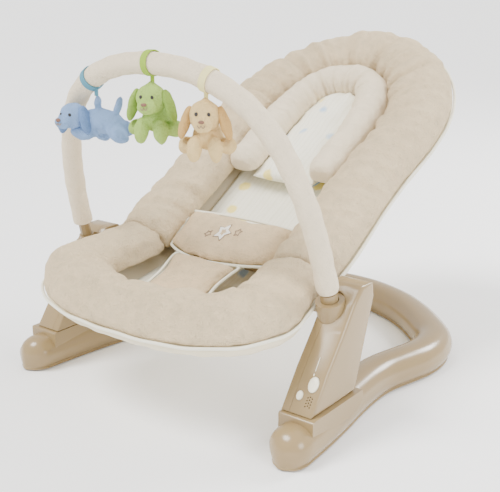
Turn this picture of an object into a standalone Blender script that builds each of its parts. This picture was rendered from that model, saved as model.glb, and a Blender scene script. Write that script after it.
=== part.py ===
"""Infant bouncer: floor loop, two upright legs, sprung reclined seat, padded cover, lift-off toy bar.

Metres. +Z up, floor at z = 0, X = 0 is the plane of symmetry, -Y is the foot end, +X the control leg.
"""

import math

import bpy
import bmesh
from mathutils import Matrix, Vector

# ---- driving dimensions (metres, degrees) -------------------------------------------------------
GAP = 0.0003
Y_CENTRE = 0.01143

# floor loop: one hollow rail, open underneath, closed by a plate
RAIL_HALF_W = 0.028
RAIL_H = 0.046
RAIL_TOP = 0.046                  # heights are laid out from the top of the loop
FLOOR_Z = RAIL_TOP - RAIL_H       # so a taller loop reaches farther down
RAIL_LIP_Z = FLOOR_Z + 0.0022
RAIL_WALL = 0.0028
RAIL_PATH = [
    (0.225, -0.250), (0.2215, -0.200), (0.216, -0.150), (0.209, -0.100), (0.205, -0.050),
    (0.207, -0.012), (0.216, 0.026), (0.2245, 0.062), (0.225, 0.100), (0.213, 0.137),
    (0.184, 0.171), (0.148, 0.204), (0.109, 0.231), (0.071, 0.248), (0.035, 0.258), (0.0, 0.261),
]
FOOT_H = 0.0035

# legs, outline in the Y-Z plane
LEG_IN, LEG_SPLIT, LEG_OUT = 0.198, 0.2100, 0.2430
LEG_WALL = 0.0025
LEG_OUTLINE = [
    (-0.238, 0.0535, 0.004), (-0.205, 0.100, 0.02), (-0.172, 0.140, 0.02), (-0.150, 0.170, 0.006),
    (-0.131, 0.188, 0.008), (-0.104, 0.188, 0.010), (-0.101, 0.168, 0.02), (-0.127, 0.090, 0.02),
    (-0.140, 0.0535, 0.004),
]
SADDLE_Z0, SADDLE_Z1 = 0.027, 0.0532
SADDLE_Y0, SADDLE_Y1 = -0.2425, -0.1300

# toy bar: an arch in a plane that leans over the foot end
BAR_X, BAR_Y, BAR_Z = 0.2125, -0.157, 0.172
BAR_LEAN = 15.2
BAR_HALF = [
    (0.2125, 0.0), (0.2105, 0.035), (0.2050, 0.090), (0.1930, 0.145), (0.1730, 0.195),
    (0.1420, 0.237), (0.1000, 0.265), (0.0510, 0.281), (0.0, 0.286),
]
CORE_R, SLEEVE_WALL = 0.0080, 0.0058
SLEEVE_R = CORE_R + SLEEVE_WALL
PLUG_R = 0.0108
PLUG_CLEARANCE, SOCKET_R, SOCKET_L = 0.0005, 0.0183, 0.036
SOCKET_BORE_R = PLUG_R + PLUG_CLEARANCE

# seat: two planes that meet at the hubs
SEAT_Y, SEAT_Z = -0.112, 0.165
BACK_DEG, FRONT_DEG = 30.5, 9.0
PIVOT_Y, PIVOT_Z, PIVOT_R = -0.1190, 0.1505, 0.0040
TUBE_R, HEM_WALL = 0.0060, 0.0025
HEM_R = TUBE_R + HEM_WALL
BACK_OUTLINE = [
    (0.186, 0.012), (0.190, 0.050), (0.189, 0.110), (0.188, 0.170), (0.192, 0.230), (0.197, 0.285),
    (0.195, 0.340), (0.178, 0.400), (0.146, 0.453), (0.100, 0.497), (0.051, 0.524), (0.0, 0.533),
]
FRONT_OUTLINE = [
    (0.186, -0.006), (0.188, -0.035), (0.196, -0.068), (0.203, -0.100), (0.196, -0.134),
    (0.172, -0.168), (0.132, -0.193), (0.086, -0.207), (0.040, -0.212), (0.0, -0.213),
]
ROLL_W, ROLL_H = 0.093, 0.046
FRONT_ROLL_W = 0.086

# control unit
FACE_DEG = math.degrees(math.atan2(0.100 - 0.0535, -0.205 + 0.238))
CELL_R, CELL_L = 0.00725, 0.0505

# ---- materials -----------------------------------------------------------------------------------
COLOURS = {
    "plastic": ((0.510, 0.420, 0.290), 0.0, 0.38),
    "plastic_dark": ((0.440, 0.355, 0.240), 0.0, 0.42),
    "button": ((0.83, 0.82, 0.70), 0.0, 0.35),
    "steel": ((0.56, 0.57, 0.58), 1.0, 0.35),
    "rubber": ((0.10, 0.10, 0.10), 0.0, 0.80),
    "plush": ((0.76, 0.67, 0.55), 0.0, 0.95),
    "liner": ((0.88, 0.86, 0.78), 0.0, 0.90),
    "piping": ((0.84, 0.84, 0.72), 0.0, 0.85),
    "webbing": ((0.80, 0.74, 0.62), 0.0, 0.85),
    "board": ((0.05, 0.20, 0.10), 0.0, 0.50),
    "cell": ((0.12, 0.12, 0.13), 0.2, 0.40),
    "black": ((0.03, 0.03, 0.03), 0.0, 0.50),
    "blue": ((0.38, 0.50, 0.66), 0.0, 0.95),
    "green": ((0.50, 0.64, 0.28), 0.0, 0.95),
    "tan": ((0.78, 0.60, 0.34), 0.0, 0.95),
}

for old in list(bpy.data.objects):
    bpy.data.objects.remove(old, do_unlink=True)
PARTS = bpy.data.collections.new("bouncer_seat")
CUTTERS = bpy.data.collections.new("cutters")
bpy.context.scene.collection.children.link(PARTS)
bpy.context.scene.collection.children.link(CUTTERS)


# ---- helpers -------------------------------------------------------------------------------------
def material(node, key):
    colour, metallic, rough = COLOURS[key]
    mat = bpy.data.materials.new(node)
    mat.use_nodes = True
    shader = mat.node_tree.nodes["Principled BSDF"]
    shader.inputs["Base Color"].default_value = (*colour, 1.0)
    shader.inputs["Metallic"].default_value = metallic
    shader.inputs["Roughness"].default_value = rough
    mat.diffuse_color = (*colour, 1.0)
    return mat


def add(node, mesh, key=None, smooth=True):
    """One named part in the parts collection, or a hidden cutter when no material is given."""
    obj = bpy.data.objects.new(node, mesh)
    if key is None:
        CUTTERS.objects.link(obj)
        obj.hide_render = True
        obj.display_type = "WIRE"
        return obj
    PARTS.objects.link(obj)
    mesh.materials.append(material(node, key))
    if smooth:
        for poly in mesh.polygons:
            poly.use_smooth = True
    return obj


def mesh_of(node, bm):
    bmesh.ops.recalc_face_normals(bm, faces=bm.faces)
    mesh = bpy.data.meshes.new(node)
    bm.to_mesh(mesh)
    bm.free()
    return mesh


def loft(node, rings, key=None, smooth=True):
    """A closed solid through rings of equal length, with an end cap on the first and the last."""
    bm = bmesh.new()
    rows = [[bm.verts.new(p) for p in ring] for ring in rings]
    count = len(rows[0])
    for a, b in zip(rows, rows[1:]):
        for i in range(count):
            j = (i + 1) % count
            bm.faces.new((a[i], a[j], b[j], b[i]))
    bm.faces.new(rows[0])
    bm.faces.new(rows[-1])
    return add(node, mesh_of(node, bm), key, smooth)


def prism(node, outline, x0, x1, key=None, bevel=0.0):
    """An outline in the Y-Z plane, carried from x0 to x1."""
    obj = loft(node, [[(x, y, z) for y, z in outline] for x in (x0, x1)], key, False)
    if bevel:
        mod = obj.modifiers.new("edges", "BEVEL")
        mod.width, mod.segments, mod.limit_method, mod.angle_limit = bevel, 2, "ANGLE", 0.9
    return obj


def box(node, low, high, key=None, turn=None):
    bm = bmesh.new()
    bmesh.ops.create_cube(bm, size=1.0)
    size = [b - a for a, b in zip(low, high)]
    mid = Vector([(a + b) / 2 for a, b in zip(low, high)])
    bmesh.ops.scale(bm, vec=size, verts=bm.verts)
    if turn is not None:
        bmesh.ops.rotate(bm, matrix=turn, verts=bm.verts)
    bmesh.ops.translate(bm, vec=mid, verts=bm.verts)
    return add(node, mesh_of(node, bm), key, False)


def cylinder(node, start, end, radius, key=None, segments=24, radius_end=None):
    start, end = Vector(start), Vector(end)
    bm = bmesh.new()
    bmesh.ops.create_cone(
        bm, cap_ends=True, segments=segments, radius1=radius,
        radius2=radius if radius_end is None else radius_end, depth=(end - start).length,
    )
    turn = Vector((0, 0, 1)).rotation_difference(end - start).to_matrix()
    bmesh.ops.rotate(bm, matrix=turn, verts=bm.verts)
    bmesh.ops.translate(bm, vec=(start + end) / 2, verts=bm.verts)
    obj = add(node, mesh_of(node, bm), key, True)
    if key is not None:
        obj.data.shade_smooth() if hasattr(obj.data, "shade_smooth") else None
        mod = obj.modifiers.new("edges", "BEVEL")
        mod.width, mod.segments, mod.limit_method = min(0.0006, radius / 5), 1, "ANGLE"
    return obj


def boolean(obj, other, operation="DIFFERENCE"):
    mod = obj.modifiers.new(operation.lower(), "BOOLEAN")
    mod.object, mod.operation, mod.solver = other, operation, "EXACT"
    return obj


def settle(obj):
    """Applies the modifiers, so that the object is one plain mesh."""
    bpy.context.view_layer.update()
    mesh = bpy.data.meshes.new_from_object(obj.evaluated_get(bpy.context.evaluated_depsgraph_get()))
    obj.modifiers.clear()
    obj.data = mesh
    return obj


def origin(obj, point):
    """Moves the object's origin to a world point and leaves the shape where it is."""
    point = Vector(point)
    obj.data.transform(Matrix.Translation(-point))
    obj.location = point


def smooth_path(points, per=4):
    """Catmull-Rom through the points, with `per` steps for each span."""
    out = []
    for i in range(len(points) - 1):
        p0 = points[max(i - 1, 0)]
        p1, p2 = points[i], points[i + 1]
        p3 = points[min(i + 2, len(points) - 1)]
        for k in range(per):
            t = k / per
            out.append(tuple(
                0.5 * (2 * b + (c - a) * t + (2 * a - 5 * b + 4 * c - d) * t * t
                       + (3 * b - a - 3 * c + d) * t ** 3)
                for a, b, c, d in zip(p0, p1, p2, p3)
            ))
    out.append(tuple(points[-1]))
    return out


def spaced(points, count):
    """The same path with `count` points at equal steps of length."""
    steps = [math.dist(a, b) for a, b in zip(points, points[1:])]
    total, out, i, run = sum(steps), [], 0, 0.0
    for k in range(count):
        want = total * k / (count - 1)
        while i < len(steps) - 1 and run + steps[i] < want:
            run += steps[i]
            i += 1
        t = min(1.0, (want - run) / steps[i])
        out.append(tuple(a + (b - a) * t for a, b in zip(points[i], points[i + 1])))
    return out


def mirrored(half):
    """A whole path from its +X half, which ends on X = 0."""
    return half + [(-p[0], *p[1:]) for p in half[-2::-1]]


def inset(path, distance):
    """A flat path moved to its left by the distance."""
    out = []
    for i, p in enumerate(path):
        a, b = path[max(i - 1, 0)], path[min(i + 1, len(path) - 1)]
        dx, dy = b[0] - a[0], b[1] - a[1]
        length = math.hypot(dx, dy)
        out.append((p[0] - dy / length * distance, p[1] + dx / length * distance))
    return out


def rounded(corners, steps=3):
    """A flat outline with each corner (a, b, radius) rounded."""
    out = []
    for i, (a, b, r) in enumerate(corners):
        here = Vector((a, b))
        before = (Vector(corners[i - 1][:2]) - here)
        after = (Vector(corners[(i + 1) % len(corners)][:2]) - here)
        cut = min(r * 0.8, before.length * 0.45, after.length * 0.45)
        p, q = here + before.normalized() * cut, here + after.normalized() * cut
        for k in range(steps + 1):
            t = k / steps
            out.append(tuple((1 - t) ** 2 * p + 2 * t * (1 - t) * here + t * t * q))
    return out


def plane_point(degrees, x, s, lift, y0=SEAT_Y, z0=SEAT_Z):
    c, n = math.cos(math.radians(degrees)), math.sin(math.radians(degrees))
    return (x, y0 + s * c - lift * n, z0 + s * n + lift * c)


def bar_point(x, t, front=0.0):
    c, n = math.cos(math.radians(BAR_LEAN)), math.sin(math.radians(BAR_LEAN))
    return (x, BAR_Y - t * n - front * c, BAR_Z + t * c - front * n)


def tube(node, points, radius, key, resolution=3):
    data = bpy.data.curves.new(node, "CURVE")
    data.dimensions, data.bevel_depth, data.bevel_resolution = "3D", radius, resolution
    data.use_fill_caps = True
    spline = data.splines.new("POLY")
    spline.points.add(len(points) - 1)
    for target, p in zip(spline.points, points):
        target.co = (*p, 1.0)
    guide = bpy.data.objects.new(node + "_guide", data)
    CUTTERS.objects.link(guide)
    bpy.context.view_layer.update()
    mesh = bpy.data.meshes.new_from_object(
        guide.evaluated_get(bpy.context.evaluated_depsgraph_get()))
    bpy.data.objects.remove(guide, do_unlink=True)
    bm = bmesh.new()
    bm.from_mesh(mesh)
    bmesh.ops.remove_doubles(bm, verts=bm.verts, dist=0.00001)
    return add(node, mesh_of(node, bm), key)


def pad_section(width, height, count=14, flat=0.30):
    """A cushion's section: a full crown over a flatter underside. (across, lift) from lift 0 up."""
    out = []
    for k in range(count):
        a = 2 * math.pi * k / count
        c, s = math.cos(a), math.sin(a)
        across = width / 2 * math.copysign(abs(c) ** 0.85, c)
        if s >= 0:
            lift = height * (flat + (1 - flat) * s ** 0.9)
        else:
            lift = height * flat * (1 - abs(s) ** 0.6)
        out.append((across, lift))
    return out


def roll(node, degrees, path, width, height, key, lift=0.0, count=14, ends=0.022, fade=None):
    """A cushion swept along a flat path in a seat plane, with round ends."""
    section = pad_section(width, height, count)
    rings = []
    length = [0.0]
    for a, b in zip(path, path[1:]):
        length.append(length[-1] + math.dist(a, b))
    for i, p in enumerate(path):
        a, b = path[max(i - 1, 0)], path[min(i + 1, len(path) - 1)]
        dx, dy = b[0] - a[0], b[1] - a[1]
        norm = math.hypot(dx, dy)
        nx, ny = -dy / norm, dx / norm
        edge = min(length[i], length[-1] - length[i])
        k = 1.0 if edge > ends else max(0.42, math.sqrt(1 - (1 - edge / ends) ** 2))
        grow = 1.0 if fade is None else fade(p)
        rings.append([
            plane_point(degrees, p[0] + nx * u * k * grow, p[1] + ny * u * k * grow,
                        lift + height * 0.3 * (1 - k) + v * k)
            for u, v in section
        ])
    return loft(node, rings, key)


# ---- floor loop ----------------------------------------------------------------------------------
def rail_rings(path, half_w, z_low, z_lip, z_top, toe, steps=8):
    """D-shaped rings along the rail: upright lip, domed top, flat underside, round toes."""
    rings = []
    total = [0.0]
    for a, b in zip(path, path[1:]):
        total.append(total[-1] + math.dist(a, b))
    for i, p in enumerate(path):
        a, b = path[max(i - 1, 0)], path[min(i + 1, len(path) - 1)]
        dx, dy = b[0] - a[0], b[1] - a[1]
        norm = math.hypot(dx, dy)
        nx, ny = -dy / norm, dx / norm
        edge = min(total[i], total[-1] - total[i])
        k = 1.0 if edge >= toe else math.sqrt(max(0.02, 1 - (1 - edge / toe) ** 2))
        ring = []
        for j in range(steps + 1):
            t = math.pi * j / steps
            u = half_w * k * math.cos(t)
            z = z_lip + (z_top - z_lip) * (0.25 + 0.75 * k) * math.sin(t) ** 0.92
            ring.append((p[0] + nx * u, p[1] + ny * u, z))
        ring.append((p[0] - nx * half_w * k, p[1] - ny * half_w * k, z_low))
        ring.append((p[0] + nx * half_w * k, p[1] + ny * half_w * k, z_low))
        rings.append(ring)
    return rings


rail_half = smooth_path(RAIL_PATH, 4)
toe_start = [(0.2268, -0.2775), (0.2267, -0.2735), (0.2265, -0.267), (0.226, -0.259)]
rail_path = mirrored(toe_start + rail_half[0::3])
base = loft("base_rail", rail_rings(rail_path, RAIL_HALF_W, RAIL_LIP_Z, FLOOR_Z + 0.008, RAIL_TOP,
                                     0.028),
            "plastic")
hollow_path = mirrored(toe_start[2:] + rail_half[0::3])
hollow = loft("rail_hollow", rail_rings(hollow_path, RAIL_HALF_W - RAIL_WALL, FLOOR_Z - 0.01,
                                        FLOOR_Z + 0.008, RAIL_TOP - RAIL_WALL, 0.020))
settle(boolean(base, hollow))

plate_half_w = RAIL_HALF_W - RAIL_WALL - GAP - 0.0006
plate_path = mirrored(toe_start[3:] + rail_half[0::3])
plate_rings = []
for i, p in enumerate(plate_path):
    a, b = plate_path[max(i - 1, 0)], plate_path[min(i + 1, len(plate_path) - 1)]
    dx, dy = b[0] - a[0], b[1] - a[1]
    norm = math.hypot(dx, dy)
    nx, ny = -dy / norm, dx / norm
    k = 0.62 if i in (0, len(plate_path) - 1) else 0.86 if i in (1, len(plate_path) - 2) else 1.0
    w = plate_half_w * k
    plate_rings.append([(p[0] + nx * u, p[1] + ny * u, FLOOR_Z + z)
                        for u, z in ((w, 0.0042), (w, 0.0066), (-w, 0.0066), (-w, 0.0042))])
loft("base_plate", plate_rings, "plastic_dark", False)

FEET = {"foot_toe_r": (0.2245, -0.243), "foot_toe_l": (-0.2245, -0.243),
        "foot_rear_r": (0.152, 0.199), "foot_rear_l": (-0.152, 0.199)}
for node, (x, y) in FEET.items():
    cylinder(node, (x, y, FLOOR_Z), (x, y, FLOOR_Z + 0.0042 - GAP / 10), 0.0125, "rubber", 24)

# ---- legs ----------------------------------------------------------------------------------------
leg_outline = rounded(LEG_OUTLINE)
leg_hollow = rounded([
    (-0.2335, 0.0562, 0.003), (-0.2022, 0.1010, 0.02), (-0.1690, 0.1415, 0.02),
    (-0.1475, 0.1708, 0.005), (-0.1300, 0.1855, 0.006), (-0.1070, 0.1855, 0.008),
    (-0.1038, 0.1675, 0.02), (-0.1297, 0.0905, 0.02), (-0.1420, 0.0562, 0.003),
])
saddle_outline = rounded([
    (SADDLE_Y0, SADDLE_Z0, 0.002), (SADDLE_Y0, SADDLE_Z1, 0.003), (-0.160, SADDLE_Z1, 0.002),
    (SADDLE_Y1, SADDLE_Z1, 0.003), (SADDLE_Y1, SADDLE_Z0 + 0.012, 0.006), (-0.150, SADDLE_Z0, 0.010),
])
rail_clear = rail_rings(mirrored(rail_half[0::3]), RAIL_HALF_W + GAP, FLOOR_Z - 0.02,
                        FLOOR_Z + 0.008 + GAP, RAIL_TOP + GAP, 0.0)
face = math.radians(FACE_DEG)
FACE_U = Vector((0, math.cos(face), math.sin(face)))      # up along the front face
FACE_N = Vector((0, -math.sin(face), math.cos(face)))     # out of the front face
FACE_0 = Vector((0, -0.238, 0.0535))                      # lower edge of the front face
FACE_TURN = Matrix((
    (1, 0, 0), (0, FACE_U.y, FACE_N.y), (0, FACE_U.z, FACE_N.z)))


def face_point(x, up, out):
    p = FACE_0 + FACE_U * up + FACE_N * out
    return Vector((x, p.y, p.z))


def face_oval(node, x, up, out0, out1, half_x, half_u, key=None, segments=20, crown=0.0):
    """An oval plug square to the front face, from out0 to out1, with an optional domed cap."""
    rings = []
    levels = [(out0, 1.0), (out1 - crown, 1.0)]
    if crown:
        levels += [(out1 - crown * 0.35, 0.86), (out1, 0.45)]
    for out, k in levels:
        rings.append([tuple(face_point(x + half_x * k * math.cos(2 * math.pi * i / segments),
                                       up + half_u * k * math.sin(2 * math.pi * i / segments), out))
                      for i in range(segments)])
    return loft(node, rings, key)


def flip(points, side):
    return [(side * x, y, z) for x, y, z in points]


for side, tag in ((1, "r"), (-1, "l")):
    # saddle: clamps the leg onto the rail
    saddle = prism("saddle_" + tag, saddle_outline, side * 0.1985, side * 0.2480, "plastic")
    cut = loft("rail_clear_" + tag, [ring for ring in rail_clear])
    settle(boolean(saddle, cut))

    # two half shells on a joint line near the inner side
    shells = {}
    for part, x0, x1, h0, h1 in (
        ("outer", LEG_SPLIT + GAP / 2, LEG_OUT, LEG_SPLIT - 0.01, LEG_OUT - LEG_WALL),
        ("inner", LEG_IN, LEG_SPLIT - GAP / 2, LEG_IN + LEG_WALL, LEG_SPLIT + 0.01),
    ):
        lifted = [(y, max(z, SADDLE_Z1 + GAP)) for y, z in leg_outline]
        shell = prism(f"leg_{part}_{tag}", lifted, side * x0, side * x1, "plastic", 0.0)
        cut = prism(f"leg_hollow_{part}_{tag}", leg_hollow, side * h0, side * h1)
        boolean(shell, cut)
        shells[part] = shell
    pocket = cylinder("socket_clear_" + tag, bar_point(side * BAR_X, -SOCKET_L - GAP),
                      bar_point(side * BAR_X, 0.06), SOCKET_R + GAP, segments=32)
    for shell in shells.values():
        boolean(shell, pocket)

    # socket for the toy bar
    socket = cylinder("bar_socket_" + tag, bar_point(side * BAR_X, -SOCKET_L),
                      bar_point(side * BAR_X, 0.0), SOCKET_R, "plastic", 32)
    socket.modifiers.clear()
    bore = cylinder("socket_bore_" + tag, bar_point(side * BAR_X, -SOCKET_L + 0.004),
                    bar_point(side * BAR_X, 0.02), SOCKET_BORE_R, segments=32)
    settle(boolean(socket, bore))

    # pivot pin, fixed in the leg
    cylinder("pivot_pin_" + tag, (side * 0.1765, PIVOT_Y, PIVOT_Z), (side * 0.2045, PIVOT_Y, PIVOT_Z),
             PIVOT_R, "steel", 32)
    hole = cylinder("pivot_hole_" + tag, (side * 0.19, PIVOT_Y, PIVOT_Z),
                    (side * 0.2055, PIVOT_Y, PIVOT_Z), PIVOT_R + 0.00005, segments=32)
    boolean(shells["inner"], hole)

    # screw that holds the two shells together
    sx, sy, sz = 0.1965, -0.152, 0.072
    screw_hole = cylinder("screw_hole_" + tag, (side * 0.19, sy, sz), (side * 0.203, sy, sz),
                          0.0019, segments=16)
    boolean(shells["inner"], screw_hole)
    head = cylinder("leg_screw_" + tag, (side * 0.1962, sy, sz), (side * (LEG_IN - 0.0001), sy, sz),
                    0.0034, "steel", 16)
    shank = cylinder("screw_shank_" + tag, (side * (LEG_IN - 0.0006), sy, sz),
                     (side * 0.2070, sy, sz), 0.0016, segments=16)
    head.modifiers.clear()
    settle(boolean(head, shank, "UNION"))

    if tag == "l":
        for shell in shells.values():
            settle(shell)
    else:
        right_shells = shells

# ---- control unit in the +X leg ------------------------------------------------------------------
outer, inner = right_shells["outer"], right_shells["inner"]
BUTTONS = {  # node: x, up the face, half width, half height
    "power_button": (0.2300, 0.0400, 0.0066, 0.0098),
    "sound_button": (0.2170, 0.0235, 0.0040, 0.0058),
}
for node, (x, up, hx, hu) in BUTTONS.items():
    cut = face_oval(node + "_clear", x, up, -0.004, 0.006, hx + GAP, hu + GAP)
    boolean(outer, cut)
    button = face_oval(node, x, up, -0.0030, 0.0032, hx, hu, "button", crown=0.0016)
    stem = face_oval(node + "_stem", x, up, -0.0046, -0.0028, 0.0018, 0.0018, segments=12)
    settle(boolean(button, stem, "UNION"))
    origin(button, face_point(x, up, 0.0))

grille = bmesh.new()
for i in range(4):
    for j in range(3):
        hole = bmesh.ops.create_cone(grille, cap_ends=True, segments=8, radius1=0.0009,
                                     radius2=0.0009, depth=0.012)
        turn = Vector((0, 0, 1)).rotation_difference(FACE_N).to_matrix()
        bmesh.ops.rotate(grille, matrix=turn, verts=hole["verts"])
        at = face_point(0.2312 + (j - 1) * 0.0030, 0.0130 + i * 0.0036 + (j % 2) * 0.0014, 0.0)
        bmesh.ops.translate(grille, vec=at, verts=hole["verts"])
boolean(outer, add("speaker_holes", mesh_of("speaker_holes", grille)))

cylinder("speaker", face_point(0.2312, 0.0215, -0.0100), face_point(0.2312, 0.0215, -0.0048),
         0.0080, "black", 24)


def face_box(node, x0, x1, up0, up1, out0, out1, key=None):
    mid = face_point((x0 + x1) / 2, (up0 + up1) / 2, (out0 + out1) / 2)
    half = Vector(((x1 - x0) / 2, (up1 - up0) / 2, (out1 - out0) / 2))
    return box(node, mid - half, mid + half, key, FACE_TURN)


board = face_box("circuit_board", 0.2112, 0.2395, 0.0305, 0.0720, -0.0080, -0.0064, "board")
settle(boolean(board, face_box("board_tongue", 0.2112, 0.2212, 0.0180, 0.0400, -0.0080, -0.0064),
               "UNION"))
face_box("battery_tray", 0.2168, 0.2392, 0.0386, 0.1016, -0.0490, -0.0120, "plastic_dark")
tray_cut = face_box("tray_cut", 0.2100, 0.2368, 0.0406, 0.0996, -0.0470, -0.0140)
settle(boolean(PARTS.objects["battery_tray"], tray_cut))
for i in range(2):
    out = -0.0222 - i * 0.0152
    cylinder(f"battery_{i + 1}", face_point(0.2275, 0.0444, out),
             face_point(0.2275, 0.0444 + CELL_L, out), CELL_R, "cell", 20)
face_box("contact_plate", 0.2215, 0.2335, 0.0418, 0.0426, -0.0450, -0.0160, "steel")

door_clear = face_box("door_clear", 0.1960, 0.2009, 0.0401, 0.1001, -0.0475, -0.0140)
boolean(inner, door_clear)
door = face_box("battery_door", LEG_IN, LEG_IN + 0.0022, 0.0401 + GAP, 0.1001 - GAP,
                -0.0475 + GAP, -0.0140 - GAP, "plastic_dark")
ds = face_point(0, 0.0961, -0.0300)
dhole = cylinder("door_hole", (0.19, ds.y, ds.z), (0.21, ds.y, ds.z), 0.0017, segments=16)
settle(boolean(door, dhole))
dscrew = cylinder("door_screw", (0.1966, ds.y, ds.z), (LEG_IN - 0.0001, ds.y, ds.z), 0.0029,
                  "steel", 16)
dshank = cylinder("door_shank", (LEG_IN - 0.0006, ds.y, ds.z), (0.2035, ds.y, ds.z), 0.0014,
                  segments=16)
dscrew.modifiers.clear()
settle(boolean(dscrew, dshank, "UNION"))
settle(outer)
settle(inner)

motor_y, motor_z = -0.1350, 0.1200
motor = cylinder("vibration_motor", (0.2180, motor_y, motor_z), (0.2395, motor_y, motor_z), 0.0095,
                 "steel", 24)
motor.modifiers.clear()
settle(boolean(motor, cylinder("motor_shaft", (0.2105, motor_y, motor_z), (0.2190, motor_y, motor_z),
                               0.0010, segments=24), "UNION"))
weight_outline = [(motor_y + 0.0078 * math.cos(math.radians(a)),
                   motor_z + 0.0078 * math.sin(math.radians(a))) for a in range(-206, 27, 29)]
weight = prism("eccentric_weight", weight_outline, 0.2115, 0.2165, "steel")
settle(boolean(weight, cylinder("weight_bore", (0.2100, motor_y, motor_z), (0.2180, motor_y, motor_z),
                                0.00105, segments=24)))
origin(weight, (0.214, motor_y, motor_z))

# ---- seat frame ----------------------------------------------------------------------------------
back_out = spaced(smooth_path(mirrored(BACK_OUTLINE), 4), 35)
front_out = spaced(smooth_path(mirrored(FRONT_OUTLINE), 4), 27)
TUBE_IN, TUBE_LIFT = 0.0185, -0.0100
frames = {
    "upper": (BACK_DEG, inset(back_out, TUBE_IN), 0.034),
    "lower": (FRONT_DEG, inset([(x, s) for x, s in front_out], -TUBE_IN), 0.030),
}
for tag, (deg, path, start) in frames.items():
    run = [plane_point(deg, x, s, TUBE_LIFT) for x, s in path if abs(s) > start - 0.018]
    hub_in = [plane_point(deg, side * 0.1655, math.copysign(0.008, path[len(path) // 2][1]), TUBE_LIFT)
              for side in (1, -1)]
    if run[0][0] < 0:
        hub_in = hub_in[::-1]
    tube(f"seat_tube_{tag}", [hub_in[0]] + run + [hub_in[1]], TUBE_R, "steel", 2)
    hem_run = [plane_point(deg, x, s, TUBE_LIFT) for x, s in path if abs(s) > start]
    hem = tube(f"hem_{tag}", hem_run, HEM_R, "plush", 2)
    bore = tube(f"hem_bore_{tag}", [hub_in[0]] + run + [hub_in[1]], TUBE_R + GAP, None, 2)
    settle(boolean(hem, bore))

for side, tag in ((1, "r"), (-1, "l")):
    hub_outline = rounded([(*plane_point(deg, 0, s, lift)[1:], r) for deg, s, lift, r in (
        (FRONT_DEG, -0.030, -0.0015, 0.004), (FRONT_DEG, 0.000, -0.0015, 0.002),
        (BACK_DEG, 0.032, -0.0015, 0.004), (BACK_DEG, 0.030, -0.0210, 0.008),
        (FRONT_DEG, 0.004, -0.0290, 0.014), (FRONT_DEG, -0.024, -0.0230, 0.010))])
    hub = prism("seat_hub_" + tag, hub_outline, side * 0.1575, side * 0.1955, "plastic_dark")
    hole = cylinder("hub_hole_" + tag, (side * 0.1758, PIVOT_Y, PIVOT_Z), (side * 0.199, PIVOT_Y, PIVOT_Z),
                    PIVOT_R + 0.00005, segments=32)
    boolean(hub, hole)
    for name, (deg, path, start) in frames.items():
        clear = tube(f"hub_clear_{name}_{tag}", [
            plane_point(deg, side * 0.1655, math.copysign(0.0072, path[len(path) // 2][1]), TUBE_LIFT),
            *[plane_point(deg, x, s, TUBE_LIFT) for x, s in (path if path[0][0] * side > 0 else path[::-1])
              if abs(s) > start - 0.018][:3],
        ], TUBE_R + GAP / 2, None, 2)
        boolean(hub, clear)
    settle(hub)

# ---- padded cover --------------------------------------------------------------------------------
BEND = math.tan(math.radians((BACK_DEG - FRONT_DEG) / 2))


def sheared(point_of, node, path, width, height, key, sign, lift=0.0, count=14, ends=0.020):
    """A cushion roll whose two ends meet the other plane's roll on the bisecting plane."""
    section = pad_section(width, height, count)
    length = [0.0]
    for a, b in zip(path, path[1:]):
        length.append(length[-1] + math.dist(a, b))
    rings = []
    for i, p in enumerate(path):
        a, b = path[max(i - 1, 0)], path[min(i + 1, len(path) - 1)]
        dx, dy = b[0] - a[0], b[1] - a[1]
        norm = math.hypot(dx, dy)
        nx, ny = -dy / norm, dx / norm
        edge = min(length[i], length[-1] - length[i])
        k = 1.0 if edge > ends else 0.86 + 0.14 * math.sqrt(1 - (1 - edge / ends) ** 2)
        near = math.exp(-abs(p[1]) / 0.05)
        narrow = 1.0 - 0.13 * near
        rings.append([
            point_of(p[0] + nx * u * k * narrow,
                     p[1] + ny * u * k * narrow + sign * BEND * (v * k + lift) * near,
                     lift + height * 0.3 * (1 - k) + v * k)
            for u, v in section
        ])
    return loft(node, rings, key)


def back_point(x, s, lift):
    return plane_point(BACK_DEG, x, s, lift)


def front_point(x, s, lift):
    return plane_point(FRONT_DEG, x, s, lift)


def clipped(path, low):
    """The part of a whole U path whose distance along the plane is at least `low` from the bend."""
    return spaced([p for p in path if abs(p[1]) >= low], len(path))


back_mid = clipped(inset(spaced(smooth_path(mirrored(BACK_OUTLINE), 4), 45), ROLL_W / 2 + 0.001), 0.004)
sheared(back_point, "back_roll", back_mid, ROLL_W, ROLL_H, "plush", 1, 0.0005)
front_mid = clipped(inset(spaced(smooth_path(mirrored(FRONT_OUTLINE), 4), 37),
                          -(FRONT_ROLL_W / 2 + 0.001)), 0.004)
sheared(front_point, "front_roll", front_mid, FRONT_ROLL_W, ROLL_H - 0.002, "plush", -1, 0.0005)


def half_width(outline, s, reduce):
    """Half width of the outline, brought in by `reduce`, at the distance s along its plane."""
    sign = 1 if outline[-1][1] > 0 else -1
    s = sign * max(abs(s), 0.024)
    path = inset(smooth_path(outline, 4), reduce * sign)
    best = 0.0
    for a, b in zip(path, path[1:]):
        if (a[1] - s) * (b[1] - s) <= 0 and a[1] != b[1]:
            best = max(best, a[0] + (b[0] - a[0]) * (s - a[1]) / (b[1] - a[1]))
    return best


def sag(s):
    """How far the fabric hangs under the seat plane at X = 0."""
    return 0.030 - 0.018 * max(0.0, (s - 0.15) / 0.36) - 0.012 * max(0.0, (-s - 0.10) / 0.10)


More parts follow.
